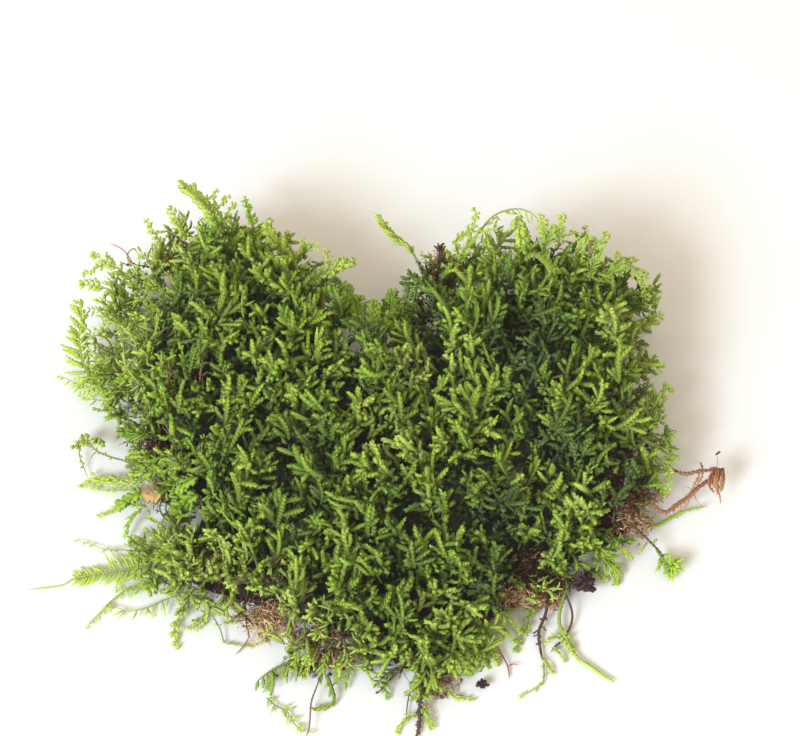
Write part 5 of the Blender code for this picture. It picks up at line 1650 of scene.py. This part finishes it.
BACK_LOOSE: tuple[Frond, ...] = (
    *alike((
        ((-24.6, 34.2, 14.6), (-23.6, 35.2, 14.9), (-22.9, 36, 15)),
        ((-23.2, 32.9, 13.8), (-22.2, 34.2, 14.5), (-21.4, 35.2, 14.9)),
        ((-22.2, 32, 13.2), (-21.2, 33, 14.2), (-20.5, 33.8, 15)),
        ((-10.8, 27.6, 10.6), (-10.8, 28.3, 12), (-10.9, 28.9, 13.4)),
    ), 0.4, 0.8, 0.7),
    Frond(((0.6, 18.2, 7), (0.9, 19, 8.2), (1.1, 19.6, 9.4)), 0.8, 1.4, 0.5, style=STOUT),
    *alike((
        ((27.6, 22.6, 13.4), (29, 24.4, 15.2), (29.8, 25.6, 16.4)),
        ((29.4, 21.8, 12.6), (31, 23.4, 14.2), (32.4, 24.2, 15)),
        ((26, 24, 14), (26.6, 25.8, 15.8), (28, 27, 16.8)),
        ((10.6, 25, 13.6), (11.6, 26.6, 15.6), (13.2, 27.8, 17)),
        ((21.8, 25.2, 15), (22.6, 27.2, 17.2), (24, 28, 18)),
    ), 0.6, 1.7, 0.5, tone=0.56, style=BRUSH),
    Frond(((3.9, 23.6, 11.4), (3.2, 21.2, 9.4), (3, 19.2, 8)), 0.6, 1, 0.6, tone=0.3),
    Frond(((5.2, 24.1, 12), (4.4, 21.5, 10), (4, 18, 8.4)), 0.6, 1, 0.6, tone=0.3),
    Frond(((18.2, 29.6, 18.4), (18.7, 28.3, 17.4), (19.2, 26.3, 16)), 0.8, 1.5, 0.5,
        sides=Sides.ROUND, style=STOUT),
    Frond(((9.6, 27, 15.6), (12.1, 27.6, 17.4), (15.3, 27.6, 18)), 0.42, 1, 0.7, style=SLIM),
    Frond(((22.6, 26.5, 15.6), (22.1, 27.8, 17.4), (21.5, 28.9, 18.7)), 0.55, 1.3, 0.6),
    Frond(((23.6, 27, 16.8), (25.2, 27.3, 17.2), (26.5, 27.5, 17.4), (27, 26.3, 16),
        (27.3, 25.1, 14.4)), 0.4, 0.8, 0.8, style=SLIM),
    Frond(((19.1, 23.1, 17.2), (20.1, 23.2, 18.5), (21.3, 22.9, 18.5), (22.5, 22, 17.4),
        (23.3, 20.6, 15.6)), 1.2, tone=0.7, taper=0.1, style=Style(stem=BRANCHLET)),
    Frond(((37.2, 21.2, 9.8), (37.4, 20.2, 9), (36.6, 18.6, 8.4)), 0.4, 0.7, 0.7),
    Frond(((28, 25.6, 14.6), (29.6, 27.4, 15.4), (30.6, 28.4, 15.6)), 0.45, 1.3, 0.7),
    Frond(((-1.4, 16.6, 7), (-1.2, 18.6, 8.8), (-1, 20.4, 10.2)), 0.7, 1.8, 0.5, tone=0.5,
        style=STOUT),
    Frond(((-3.4, 17.4, 7.6), (-3.4, 19.4, 9.2), (-3, 21.2, 10.4)), 0.7, 1.8, 0.5, tone=0.45,
        style=STOUT),
    Frond(((1.8, 16, 6.8), (2.2, 17.8, 8.6), (2.4, 19.8, 10)), 0.6, 1.6, 0.5, tone=0.4,
        style=STOUT),
    Frond(((-0.2, 17.4, 6.4), (0.2, 19, 7.6), (0.4, 20.4, 8.4)), 0.6, 1.6, 0.5, tone=0.3,
        style=STOUT),
    Frond(((1, 18, 7), (1.2, 20.4, 8.6), (1.4, 22.4, 10)), 0.7, 1.7, 0.5, tone=0.4, style=STOUT),
    Frond(((-4.4, 18.6, 7.4), (-4.6, 21, 8.8), (-4.6, 23.2, 9.8)), 0.6, 1.6, 0.5, tone=0.5,
        style=STOUT),
)
BROWN_STEMS: dict[str, Frond] = {
    "stem_brown_hook": Frond(((-32.3, -1.2, 3.2), (-34.4, 0.3, 3), (-36.3, 1, 2.8), (-38.4, 2, 2.7),
        (-39.4, 3.1, 2.6), (-40.2, 4.1, 2.2), (-40.9, 3.3, 1.6), (-41, 2.2, 1.1), (-40.5, 0.9, 0.8),
        (-39.8, -0.7, 0.5)), 0.42, 0.5, 1.4, 0.3, 0.9, tone=0.9, style=SLIM),
    "stem_red_front_left": Frond(((-17.2, -21.7, 1.6), (-17.4, -22.8, 1.2), (-16.9, -23.8, 0.9),
        (-17.5, -25, 0.6), (-18.8, -26.5, 0.4)), 0.38, tone=0.94, style=WIRE),
    "stem_front_brown": Frond(((-7.4, -29.4, 2), (-8.3, -31.7, 1.5), (-8.7, -33, 1.35),
        (-8.8, -34.4, 1.25), (-8.9, -36.2, 1.1), (-9.2, -37.3, 1)), 0.34, tone=0.96, taper=0.1,
        style=Style(stem=SCALY)),
    "stem_left_lobe_loop": Frond(((-10.8, 27.6, 11), (-10.4, 28.4, 12.8), (-9.6, 28.2, 13.4),
        (-8.4, 27.6, 13.5), (-7.5, 27, 13), (-7.2, 26.4, 12)), 0.5, 1.2, 0.7, tone=0.84,
        style=SLIM),
    "stem_right_lobe_brown": Frond(((28.6, 24, 13), (28.4, 26.4, 15.4), (27.6, 28.4, 17)), 0.42,
        0.8, 1, tone=0.9),
    "bit_brown_notch": Frond(((9, 22.8, 11), (8.4, 25.2, 13.4), (8, 27, 14.2)), 0.34, 1.9, 0.35,
        tone=0.985, sides=Sides.WHORL,
        style=Style(branchlet=FRAY, radius=0.1, angle=50, youth=(0.1, 0.6))),
}
BROWN_LOOSE: tuple[Frond, ...] = (
    Frond(((-38.4, 2, 2.7), (-39, 1.3, 2.6), (-39.3, 0.7, 2.5)), 0.3, tone=0.9, style=WIRE),
    Frond(((23.6, 26.4, 15.6), (25.3, 25.9, 15.2), (26.9, 24.9, 14)), 0.3, tone=0.92, style=WIRE),
    Frond(((-15.8, -23.4, 1.4), (-14.6, -24.2, 1), (-14, -25.4, 0.6)), 0.3, tone=0.92, style=WIRE),
    Frond(((14, -19.4, 3), (16, -20.4, 2.2), (18.6, -20.8, 1.4), (20.4, -21.8, 0.6)), 0.3, tone=0.9,
        style=WIRE),
)
DARK_STEMS: dict[str, Frond] = {
    "stem_front_dark_left": Frond(((3.6, -27.6, 2.4), (2.4, -28.9, 2), (1.2, -30, 1.2),
        (-0.1, -31.3, 0.5)), 0.56, 1, 0.7, sides=Sides.RIGHT, tone=0.99, taper=0.55,
        style=Style(stem=SCALY, core=0.7, youth=(0, 0.2), radius=0.14)),
    "stem_front_dark_long": Frond(((5.6, -30.4, 1.7), (5, -33.4, 0.8), (5, -35.1, 0.6),
        (4.6, -37.3, 0.5)), 0.66, 0.7, 0.9, tone=0.99, taper=0.2,
        style=Style(stem=SCALY, core=0.7, youth=(0, 0.5), radius=0.14)),
    "stem_front_dark_thin": Frond(((3.9, -30.6, 1.3), (3.4, -33.3, 0.5), (3.3, -35.8, 0.4)), 0.3,
        tone=0.99, style=WIRE),
    "stem_front_right_dark": Frond(((21.8, -18.6, 2.3), (21.3, -21.2, 1.4), (20.4, -23.3, 0.8),
        (20.6, -25.9, 0.5), (20.9, -27.4, 0.4)), 0.62, 0.9, 0.9, 0.3, 0.7, tone=0.985, taper=0.4,
        style=Style(stem=BARE, core=0.85, youth=(0, 0.4), radius=0.14)),
    "stem_front_right_curl": Frond(((23.9, -18.4, 2.3), (24.8, -20.7, 1.2), (24.5, -22.6, 0.8),
        (23.4, -24.3, 0.5), (22.5, -25.1, 0.5), (21.8, -26.1, 0.5)), 0.44, tone=0.985, taper=0.3,
        style=Style(stem=BARE, core=0.85, youth=(0, 0.5))),
}
DARK_LOOSE: tuple[Frond, ...] = (
    Frond(((1.2, -30, 1.4), (0.6, -30.8, 1.2), (0.9, -32, 0.6)), 0.4, 1.1, 0.5, tone=0.4,
        style=BRUSH),
    Frond(((4.9, -34.4, 0.7), (3.6, -34.9, 0.8), (2.6, -35.6, 0.6), (2.2, -36.6, 0.5)), 0.4, 1.2,
        0.6, tone=0.76, style=BRUSH),
    Frond(((5, -33.2, 0.8), (5.9, -34.4, 0.9), (6.6, -35.8, 0.6)), 0.6, 1.1, 0.6, tone=0.6,
        style=BRUSH),
    Frond(((2.4, -28.9, 2), (0.8, -29.4, 1.8), (-0.4, -30.4, 1.2)), 0.4, 1.6, 0.6, tone=0.2,
        style=BRUSH),
    Frond(((20.9, -26.9, 0.4), (20.9, -28.4, 0.4), (20.7, -30, 0.4), (19.4, -31, 0.4),
        (17.9, -31.9, 0.4)), 0.3, 0.6, 1.4, tone=0.8, taper=0.2, style=SLIM),
    Frond(((20.6, -26.4, 0.5), (21.4, -27.6, 0.6), (22, -28.6, 0.4)), 0.45, 1.2, 0.5, tone=0.76,
        style=BRUSH),
    Frond(((22, -25.2, 0.5), (22.9, -26, 0.6), (23.6, -27, 0.4)), 0.45, 1, 0.5, tone=OLIVE,
        style=BRUSH),
    Frond(((23.6, -24.2, 0.6), (22.3, -24, 0.8), (21.4, -24.6, 0.5)), 0.4, 0.9, 0.5, tone=OLIVE,
        style=BRUSH),
)
RED_STALKS: dict[str, Frond] = {
    "stalk_red_left": Frond(((-34, 26.6, 9.5), (-35.6, 29, 10.6), (-37.8, 30.2, 11)), 0.28,
        tone=0.6, taper=0.1, style=WIRE),
    "stalk_red_front": Frond(((14.4, -24.4, 1.4), (15.4, -26.2, 0.8), (16.3, -27.8, 0.4),
        (16.5, -29.6, 0.3)), 0.34, tone=0.2, taper=0.3,
        style=Style(stem=BARE, core=0.8, youth=(0.1, 0.6))),
}
RED_LOOSE: tuple[Frond, ...] = (
    Frond(((16.3, -27.8, 0.4), (17.0, -27.6, 0.5), (17.8, -27.7, 0.5)), 0.26, tone=0.3, style=WIRE),
)


@dataclass
class ShootGroup:
    """Free shoots that are one piece: those that stand for a solid each, and loose ones."""

    name: str
    fronds: dict[str, Frond]
    loose: tuple[Frond, ...]
    finish: GrownFinish
    slot: str
    seed: int = 3

    def build(self) -> None:
        """Makes the piece."""
        skin = Skin()
        chance = np.random.default_rng(self.seed)
        for frond in (*self.fronds.values(), *self.loose):
            frond.build(skin, chance)
        skin.piece(self.name, self.finish, self.slot, *self.fronds)


GROUPS = (
    ShootGroup("shoots_left", LEFT_SHOOTS, LEFT_LOOSE, LIVING, "fresh_shoot", 31),
    ShootGroup("shoots_front", FRONT_SHOOTS, FRONT_LOOSE, LIVING, "fresh_shoot", 32),
    ShootGroup("shoots_right", RIGHT_SHOOTS, RIGHT_LOOSE, LIVING, "fresh_shoot", 33),
    ShootGroup("shoots_back", BACK_SHOOTS, BACK_LOOSE, LIVING, "fresh_shoot", 34),
    ShootGroup("brown_stems", BROWN_STEMS, BROWN_LOOSE, LIVING, "brown_moss", 35),
    ShootGroup("dark_stems", DARK_STEMS, DARK_LOOSE, LIVING, "dark_stem", 36),
    ShootGroup("red_stalks", RED_STALKS, RED_LOOSE, RED, "red_stalk", 37),
)


@dataclass
class DeadTwig:
    """The dry twig at the right: a scaly stalk, an arm, thin loops and a frayed dry fan."""

    seed: int = 41
    stems: tuple[Frond, ...] = (
        Frond(((44.9, -1.8, 4.9), (44.1, -2.7, 4.6), (43.5, -3.2, 4.3), (42.8, -3.6, 4),
            (41.9, -4.1, 3.5), (41, -4.8, 2.9)), 0.74, 0.5, 0.5, tone=0.12, taper=0, style=KNOTTY),
        Frond(((41.6, -4.3, 3.3), (40.5, -5.1, 2.7), (39.5, -5.7, 2.5), (38.7, -6.4, 2.4),
            (37.8, -7, 2.5), (36.8, -6.9, 2.9), (36.1, -6.3, 3.5), (35.4, -5.4, 4.4)), 0.7, 0.7,
            0.4, tone=0.5, taper=0.2, style=KNOTTY),
        Frond(((42.8, -3.4, 4), (41.5, -4.7, 3.2), (40.2, -5.6, 2.5), (39, -6.4, 2.3),
            (38, -7, 2.4)), 0.44, 0.6, 0.6, tone=0.85, taper=0.2, style=KNOTTY),
        Frond(((35.4, -6.2, 3.9), (36.4, -6, 3.5), (37.4, -5.3, 3.3), (38.1, -4.7, 3.2)), 0.34, 0.5,
            0.7, tone=0.75, style=KNOTTY),
        Frond(((44.9, -1.7, 4.9), (44.2, -1.8, 5), (43.6, -2, 4.9), (42.7, -2.1, 4.9),
            (41.8, -2.2, 4.8), (40.8, -2.4, 4.7), (39.9, -2.3, 4.6), (38.9, -1.8, 4.6)), 0.66, 0.6,
            0.4, tone=0.35, taper=0.1, style=KNOTTY),
        Frond(((42.8, -2, 4.9), (42.6, -1.5, 5.1), (42.4, -1.1, 5.4)), 0.5, tone=0.2, style=KNOTTY),
        Frond(((42.8, -2, 4.9), (42.6, -2.8, 4.5), (42.2, -3.4, 4), (41.9, -3.9, 3.5)), 0.46,
            tone=0.9, taper=0.2, style=KNOTTY),
        Frond(((42.4, -2.1, 4.9), (42.1, -2.9, 4.4), (41.7, -3.5, 3.9), (41.3, -4.2, 3.3)), 0.4,
            0.5, 0.6, tone=0.7, taper=0.2, style=KNOTTY),
        Frond(((44.6, -3.8, 3.1), (45, -4.3, 2.6), (45.2, -4.8, 2.1), (45.3, -5.4, 1.6)), 0.5,
            tone=0.8, taper=0.75, style=Style(stem=SCALY, core=0.7, youth=(0.4, 0.8))),
        Frond(((41.3, -4.1, 3.3), (40.8, -3.7, 3.3), (40.4, -3.6, 3.1), (40.2, -4.2, 2.5)), 0.2,
            tone=0.8, style=WIRE),
        Frond(((40.9, -4.9, 2.8), (40.9, -5.5, 2.2), (40.4, -6, 1.8), (39.8, -5.9, 2),
            (40, -5.4, 2.5)), 0.24, tone=0.6, style=WIRE),
        Frond(((39.8, -5.6, 2.5), (39.9, -6.2, 2), (39.3, -6.7, 1.7), (38.6, -6.5, 2.2)), 0.22,
            tone=0.8, style=WIRE),
        Frond(((41.6, -4.4, 3.2), (41.9, -5, 2.4), (42.3, -5.5, 2), (43, -5.9, 1.8),
            (43.6, -5.8, 1.9)), 0.2, tone=0.85, style=WIRE),
        Frond(((44.8, -1.7, 5), (44.7, -1.4, 5.5), (44.6, -0.9, 6), (44.6, -0.4, 6.4)), 0.11,
            tone=0.1, taper=0.4, style=WIRE),
        Frond(((44.3, -0.5, 6.3), (44.65, -0.3, 6.5), (45, -0.1, 6.7)), 0.36, tone=0.02, taper=0,
            style=Style(stem=BARE, core=0.9, youth=(0.3, 0.5))),
    )
    # The fan's left and right edges, from top to bottom.
    left: tuple[Point, ...] = (
        (44.1, -1.8, 4.9), (43.4, -3.3, 4.5), (43.3, -3.8, 3.9), (44.4, -4.4, 3.0))
    right: tuple[Point, ...] = (
        (45.5, -1.65, 4.9), (45.6, -2.9, 4.3), (45.5, -4.0, 3.4), (45.0, -4.5, 2.8))
    grid: tuple[int, int] = (14, 22)  # rows and columns of the fan
    strands: int = 34
    # The strips into which it is torn: first column, end column, rows.
    strips: tuple[tuple[int, int, int], ...] = ((0, 6, 10), (6, 9, 13), (10, 16, 14), (17, 22, 11))

    def fan(self, skin: Skin, chance: np.random.Generator) -> None:
        """Adds the fan: a blade between its edges, pleated by sines, ragged below, and strands."""
        rows, columns = self.grid
        points = spanned(self.left, self.right, rows, columns)
        u, v = np.meshgrid(np.linspace(0, 1, rows), np.linspace(0, 1, columns), indexing="ij")
        pleat = 0.16 * np.sin(15 * v + 2.2 * u) + 0.08 * np.sin(37 * v + 5 * u)
        ragged = u**2 * chance.uniform(-1.3, 0.4, columns)[None]
        points = points + pleat[..., None] * (0.2, -0.3, 1.0)
        points = points + ragged[..., None] * (0.1, -0.8, -0.6)
        ages = 0.1 + 0.75 * u + 0.2 * np.sin(31 * v + 2 * u)
        tones = 0.05 + 0.75 * u + 0.3 * (v - 0.3) + 0.14 * np.sin(17 * v)
        for low, high, end in self.strips:
            sheet(skin, points[:end, low:high], 0.08, ages[:end, low:high], tones[:end, low:high])
        for _ in range(self.strands):
            column = chance.integers(0, columns)
            across = np.clip(column + chance.integers(-1, 2, 4), 0, columns - 1)
            route = points[[0, 5, 10, 13], across] + chance.normal(0, 0.06, (4, 3)) + (0, 0, 0.06)
            Frond(
                tuple(map(tuple, route)), chance.uniform(0.12, 0.26),
                tone=chance.uniform(0.3, 0.98), taper=0.3,
                style=Style(stem=SCALY, core=0.7, youth=(0.1, 0.9))).build(skin, chance)

    def build(self) -> None:
        """Makes the piece."""
        skin = Skin()
        chance = np.random.default_rng(self.seed)
        for stem in self.stems:
            stem.build(skin, chance)
        self.fan(skin, chance)
        skin.piece(
            "dead_twig", TWIG, "dry_twig", "twig_dead_stalk", "twig_dead_arm", "twig_dead_leaf_fan")


def spanned(left: tuple[Point, ...], right: tuple[Point, ...], rows: int, columns: int) -> Array:
    """A grid of points on the straight lines from one curve to another.

    Args:
        left: points that the first curve passes through.
        right: the same for the second.
        rows: how many lines.
        columns: how many points on each.

    Returns:
        The points, (rows, columns, 3).
    """
    a, b = (evenly(through(np.array(side)), rows)[:, None] for side in (left, right))
    share = np.linspace(0, 1, columns)[None, :, None]
    return a * (1 - share) + b * share


def sheet(skin: Skin, points: Array, thickness: float, ages: Array, tones: Array) -> None:
    """Adds a thin closed blade: the grid of points, its copy below, and the wall between them.

    Args:
        skin: takes the faces.
        points: (rows, columns, 3).
        thickness: distance between the two faces, which meet in the outermost points.
        ages: (rows, columns).
        tones: the same.
    """
    rows, columns, _ = points.shape
    down = np.cross(np.gradient(points, axis=0), np.gradient(points, axis=1))
    number = np.arange(rows * columns).reshape(rows, columns)
    cells = np.stack([number[:-1, :-1], number[1:, :-1], number[1:, 1:], number[:-1, 1:]], -1)
    rim = np.ones((rows, columns), bool)
    rim[1:-1, 1:-1] = False
    below = points - unit(down) * thickness
    coords = np.clip(np.stack([ages, tones], -1), 0.02, 0.98)
    slab(skin, points.reshape(-1, 3), below.reshape(-1, 3), cells.reshape(-1, 4), rim.ravel(),
         coords.reshape(-1, 2))


@dataclass
class DeadLeaf:
    """A scrap of dead leaf caught over the left bay, bowed up and torn at its lower edge."""

    left: tuple[Point, ...] = (
        (-31.3, -3.6, 5.3), (-31.7, -4.5, 5.0), (-31.7, -5.3, 4.4), (-30.9, -6.3, 3.8))
    right: tuple[Point, ...] = (
        (-30.2, -3.8, 5.6), (-29.4, -4.7, 5.4), (-28.9, -5.6, 4.9), (-29.6, -6.5, 4.0))
    grid: tuple[int, int] = (18, 16)  # rows and columns
    thickness: float = 0.12

    def build(self) -> None:
        """Makes the piece: the grid between its edges, raised in the middle and crumpled."""
        skin = Skin()
        rows, columns = self.grid
        points = spanned(self.left, self.right, rows, columns)
        u, v = np.meshgrid(np.linspace(0, 1, rows), np.linspace(0, 1, columns), indexing="ij")
        bow = 1.8 * v * (1 - v) - 0.35 * np.exp(-(((u - 0.5) / 0.12) ** 2))
        crumple = 0.09 * np.sin(17 * v + 6 * u) + 0.07 * np.sin(9 * v - 21 * u)
        torn = u**4 * (0.1 * np.sin(13 * v + 1.0) - 0.35 * np.exp(-(((v - 0.38) / 0.1) ** 2)))
        points = points + (bow + crumple)[..., None] * (0.0, -0.35, 0.75)
        points = points + torn[..., None] * (0.0, -1.0, -0.4)
        sheet(skin, points, self.thickness, u, v)
        skin.piece("dead_leaf_scrap", DryLeafFinish(), "dry_leaf", "dead_leaf")


@dataclass
class Lump:
    """A jagged lump of bark or humus: a ball whose radius is broken up by ripples."""

    name: str
    node: str
    centre: Point
    size: Point
    spikes: float
    seed: int
    grid: tuple[int, int] = (26, 36)  # rings from pole to pole, points on each

    def build(self) -> None:
        """Makes the piece, flat where it rests."""
        skin = Skin()
        rows, columns = self.grid
        polar = np.linspace(0, math.pi, rows)[1:-1, None]
        turn = np.linspace(0, 2 * math.pi, columns, endpoint=False)[None]
        ball = np.stack([np.sin(polar) * np.cos(turn), np.sin(polar) * np.sin(turn),
                         np.cos(polar) * np.ones_like(turn)], -1)
        ends = np.array([[0.0, 0.0, 1.0], [0.0, 0.0, -1.0]])
        points = np.concatenate([ball.reshape(-1, 3), ends])
        rough = np.abs(ripple(points, 0.5, self.seed))
        rough += 0.5 * np.abs(ripple(points, 0.2, self.seed + 1))
        points = points * (0.42 * (1 - self.spikes) + 0.6 * self.spikes * rough)[:, None]
        points = points * self.size + self.centre
        points[:, 2] = np.maximum(points[:, 2], 0.02)
        number = np.arange((rows - 2) * columns).reshape(rows - 2, columns)
        after = np.roll(number, -1, axis=1)
        quads = np.stack([number[:-1], number[1:], after[1:], after[:-1]], -1).reshape(-1, 4)
        north, south = number.size, number.size + 1
        caps = np.concatenate([
            np.stack([np.full(columns, north), number[0], after[0]], -1),
            np.stack([np.full(columns, south), after[-1], number[-1]], -1)])
        flat = (points[:, :2] - points[:, :2].min(0)) / np.ptp(points[:, :2], axis=0)
        skin.add(points, [(quads, flat[quads]), (caps, flat[caps])])
        skin.piece(self.name, BARK, "humus", self.node, smooth=False)


LUMPS = (
    Lump("bark_lump", "bark_chunk", (26.3, -17.2, 2.3), (3.8, 2.6, 3.2), spikes=0.65, seed=51),
    Lump("humus_crumb", "dark_crumb", (12.9, -30.4, 0.9), (1.6, 1.3, 1.4), spikes=0.4, seed=52),
)


# ---------------------------------------------------------------- floor, light and camera


@dataclass
class Studio:
    """The pale floor, a soft key from the front left, warm light from all round and the camera."""

    aim: Point = (2.5, 16.5, 0.0)
    distance: float = 264.44
    elevation: float = 60.0
    lens: float = 85.0
    floor_size: float = 3000.0
    key_from: Point = (-0.55, -0.6, 0.585)
    key_distance: float = 1500.0
    key_size: float = 560.0
    key_watts: float = 35.0
    key_colour: Colour = (0.76, 0.87, 1.0)
    fill: float = 1.08
    fill_colour: Colour = (1.0, 0.865, 0.67)
    wall_colour: Colour = (0.86, 0.81, 0.74)
    wall_heights: tuple[float, float] = (0.1, 0.4)  # between which the walls' colour goes over
    veil: float = 0.009  # light that a lens spreads from a bright floor over the dark parts

    def floor(self) -> None:
        """Adds the floor, one large square."""
        half = self.floor_size / 2
        points = np.array([[-half, -half, 0], [half, -half, 0], [half, half, 0], [-half, half, 0]])
        skin = Skin()
        skin.add(points, [(np.array([[0, 1, 2, 3]]), np.array([[[0, 0], [1, 0], [1, 1], [0, 1]]]))])
        skin.object("floor", FloorFinish())

    def key(self) -> None:
        """Adds the key light, a square that faces the clump."""
        light = bpy.data.lights.new("key", "AREA")
        light.shape = "SQUARE"
        light.size = self.key_size * MM
        light.energy = self.key_watts
        light.color = self.key_colour
        obj = bpy.data.objects.new("key", light)
        direction = unit(np.array(self.key_from))
        obj.location = direction * self.key_distance * MM
        obj.rotation_euler = obj.location.to_track_quat("Z", "Y").to_euler()
        bpy.context.scene.collection.objects.link(obj)

    def world(self) -> None:
        """Sets the even warm light of a pale room, whose walls are less warm near the floor.

        The colour follows the height of a direction over the horizon, the sine of its elevation.
        """
        world = bpy.data.worlds.new("room")
        world.use_nodes = True
        tree = world.node_tree
        background = tree.nodes["Background"]
        background.inputs["Strength"].default_value = self.fill
        split = tree.nodes.new("ShaderNodeSeparateXYZ")
        ramp = tree.nodes.new("ShaderNodeValToRGB")
        stops = ramp.color_ramp.elements
        stops[0].position, stops[1].position = self.wall_heights
        stops[0].color, stops[1].color = (*self.wall_colour, 1), (*self.fill_colour, 1)
        place = tree.nodes.new("ShaderNodeTexCoord")
        tree.links.new(place.outputs["Generated"], split.inputs[0])
        tree.links.new(split.outputs["Z"], ramp.inputs["Fac"])
        tree.links.new(ramp.outputs["Color"], background.inputs["Color"])
        bpy.context.scene.world = world

    def camera(self) -> None:
        """Adds the camera, which looks along Y and down at the photograph's angle."""
        lens = bpy.data.cameras.new("camera")
        lens.lens = self.lens
        lens.clip_start = 0.01
        obj = bpy.data.objects.new("camera", lens)
        angle = math.radians(self.elevation)
        back = np.array([0, -math.cos(angle), math.sin(angle)])
        obj.location = (np.array(self.aim) + back * self.distance) * MM
        obj.rotation_euler = (math.radians(90 - self.elevation), 0, 0)
        bpy.context.scene.collection.objects.link(obj)
        bpy.context.scene.camera = obj

    def build(self) -> None:
        """Sets up the whole studio."""
        self.camera()
        self.floor()
        self.key()
        self.world()
        view = bpy.context.scene.view_settings
        view.view_transform = "Standard"
        view.use_curve_mapping = True
        view.curve_mapping.black_level = (-self.veil, -self.veil, -self.veil)


def main() -> None:
    logging.basicConfig(level=logging.INFO, format="%(name)s: %(message)s")
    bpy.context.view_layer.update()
    Studio().build()
    OldGrowth().build()
    DeadMat().build()
    Cushion().build()
    for group in GROUPS:
        group.build()
    DeadTwig().build()
    DeadLeaf().build()
    for lump in LUMPS:
        lump.build()


if __name__ == "__main__":
    main()
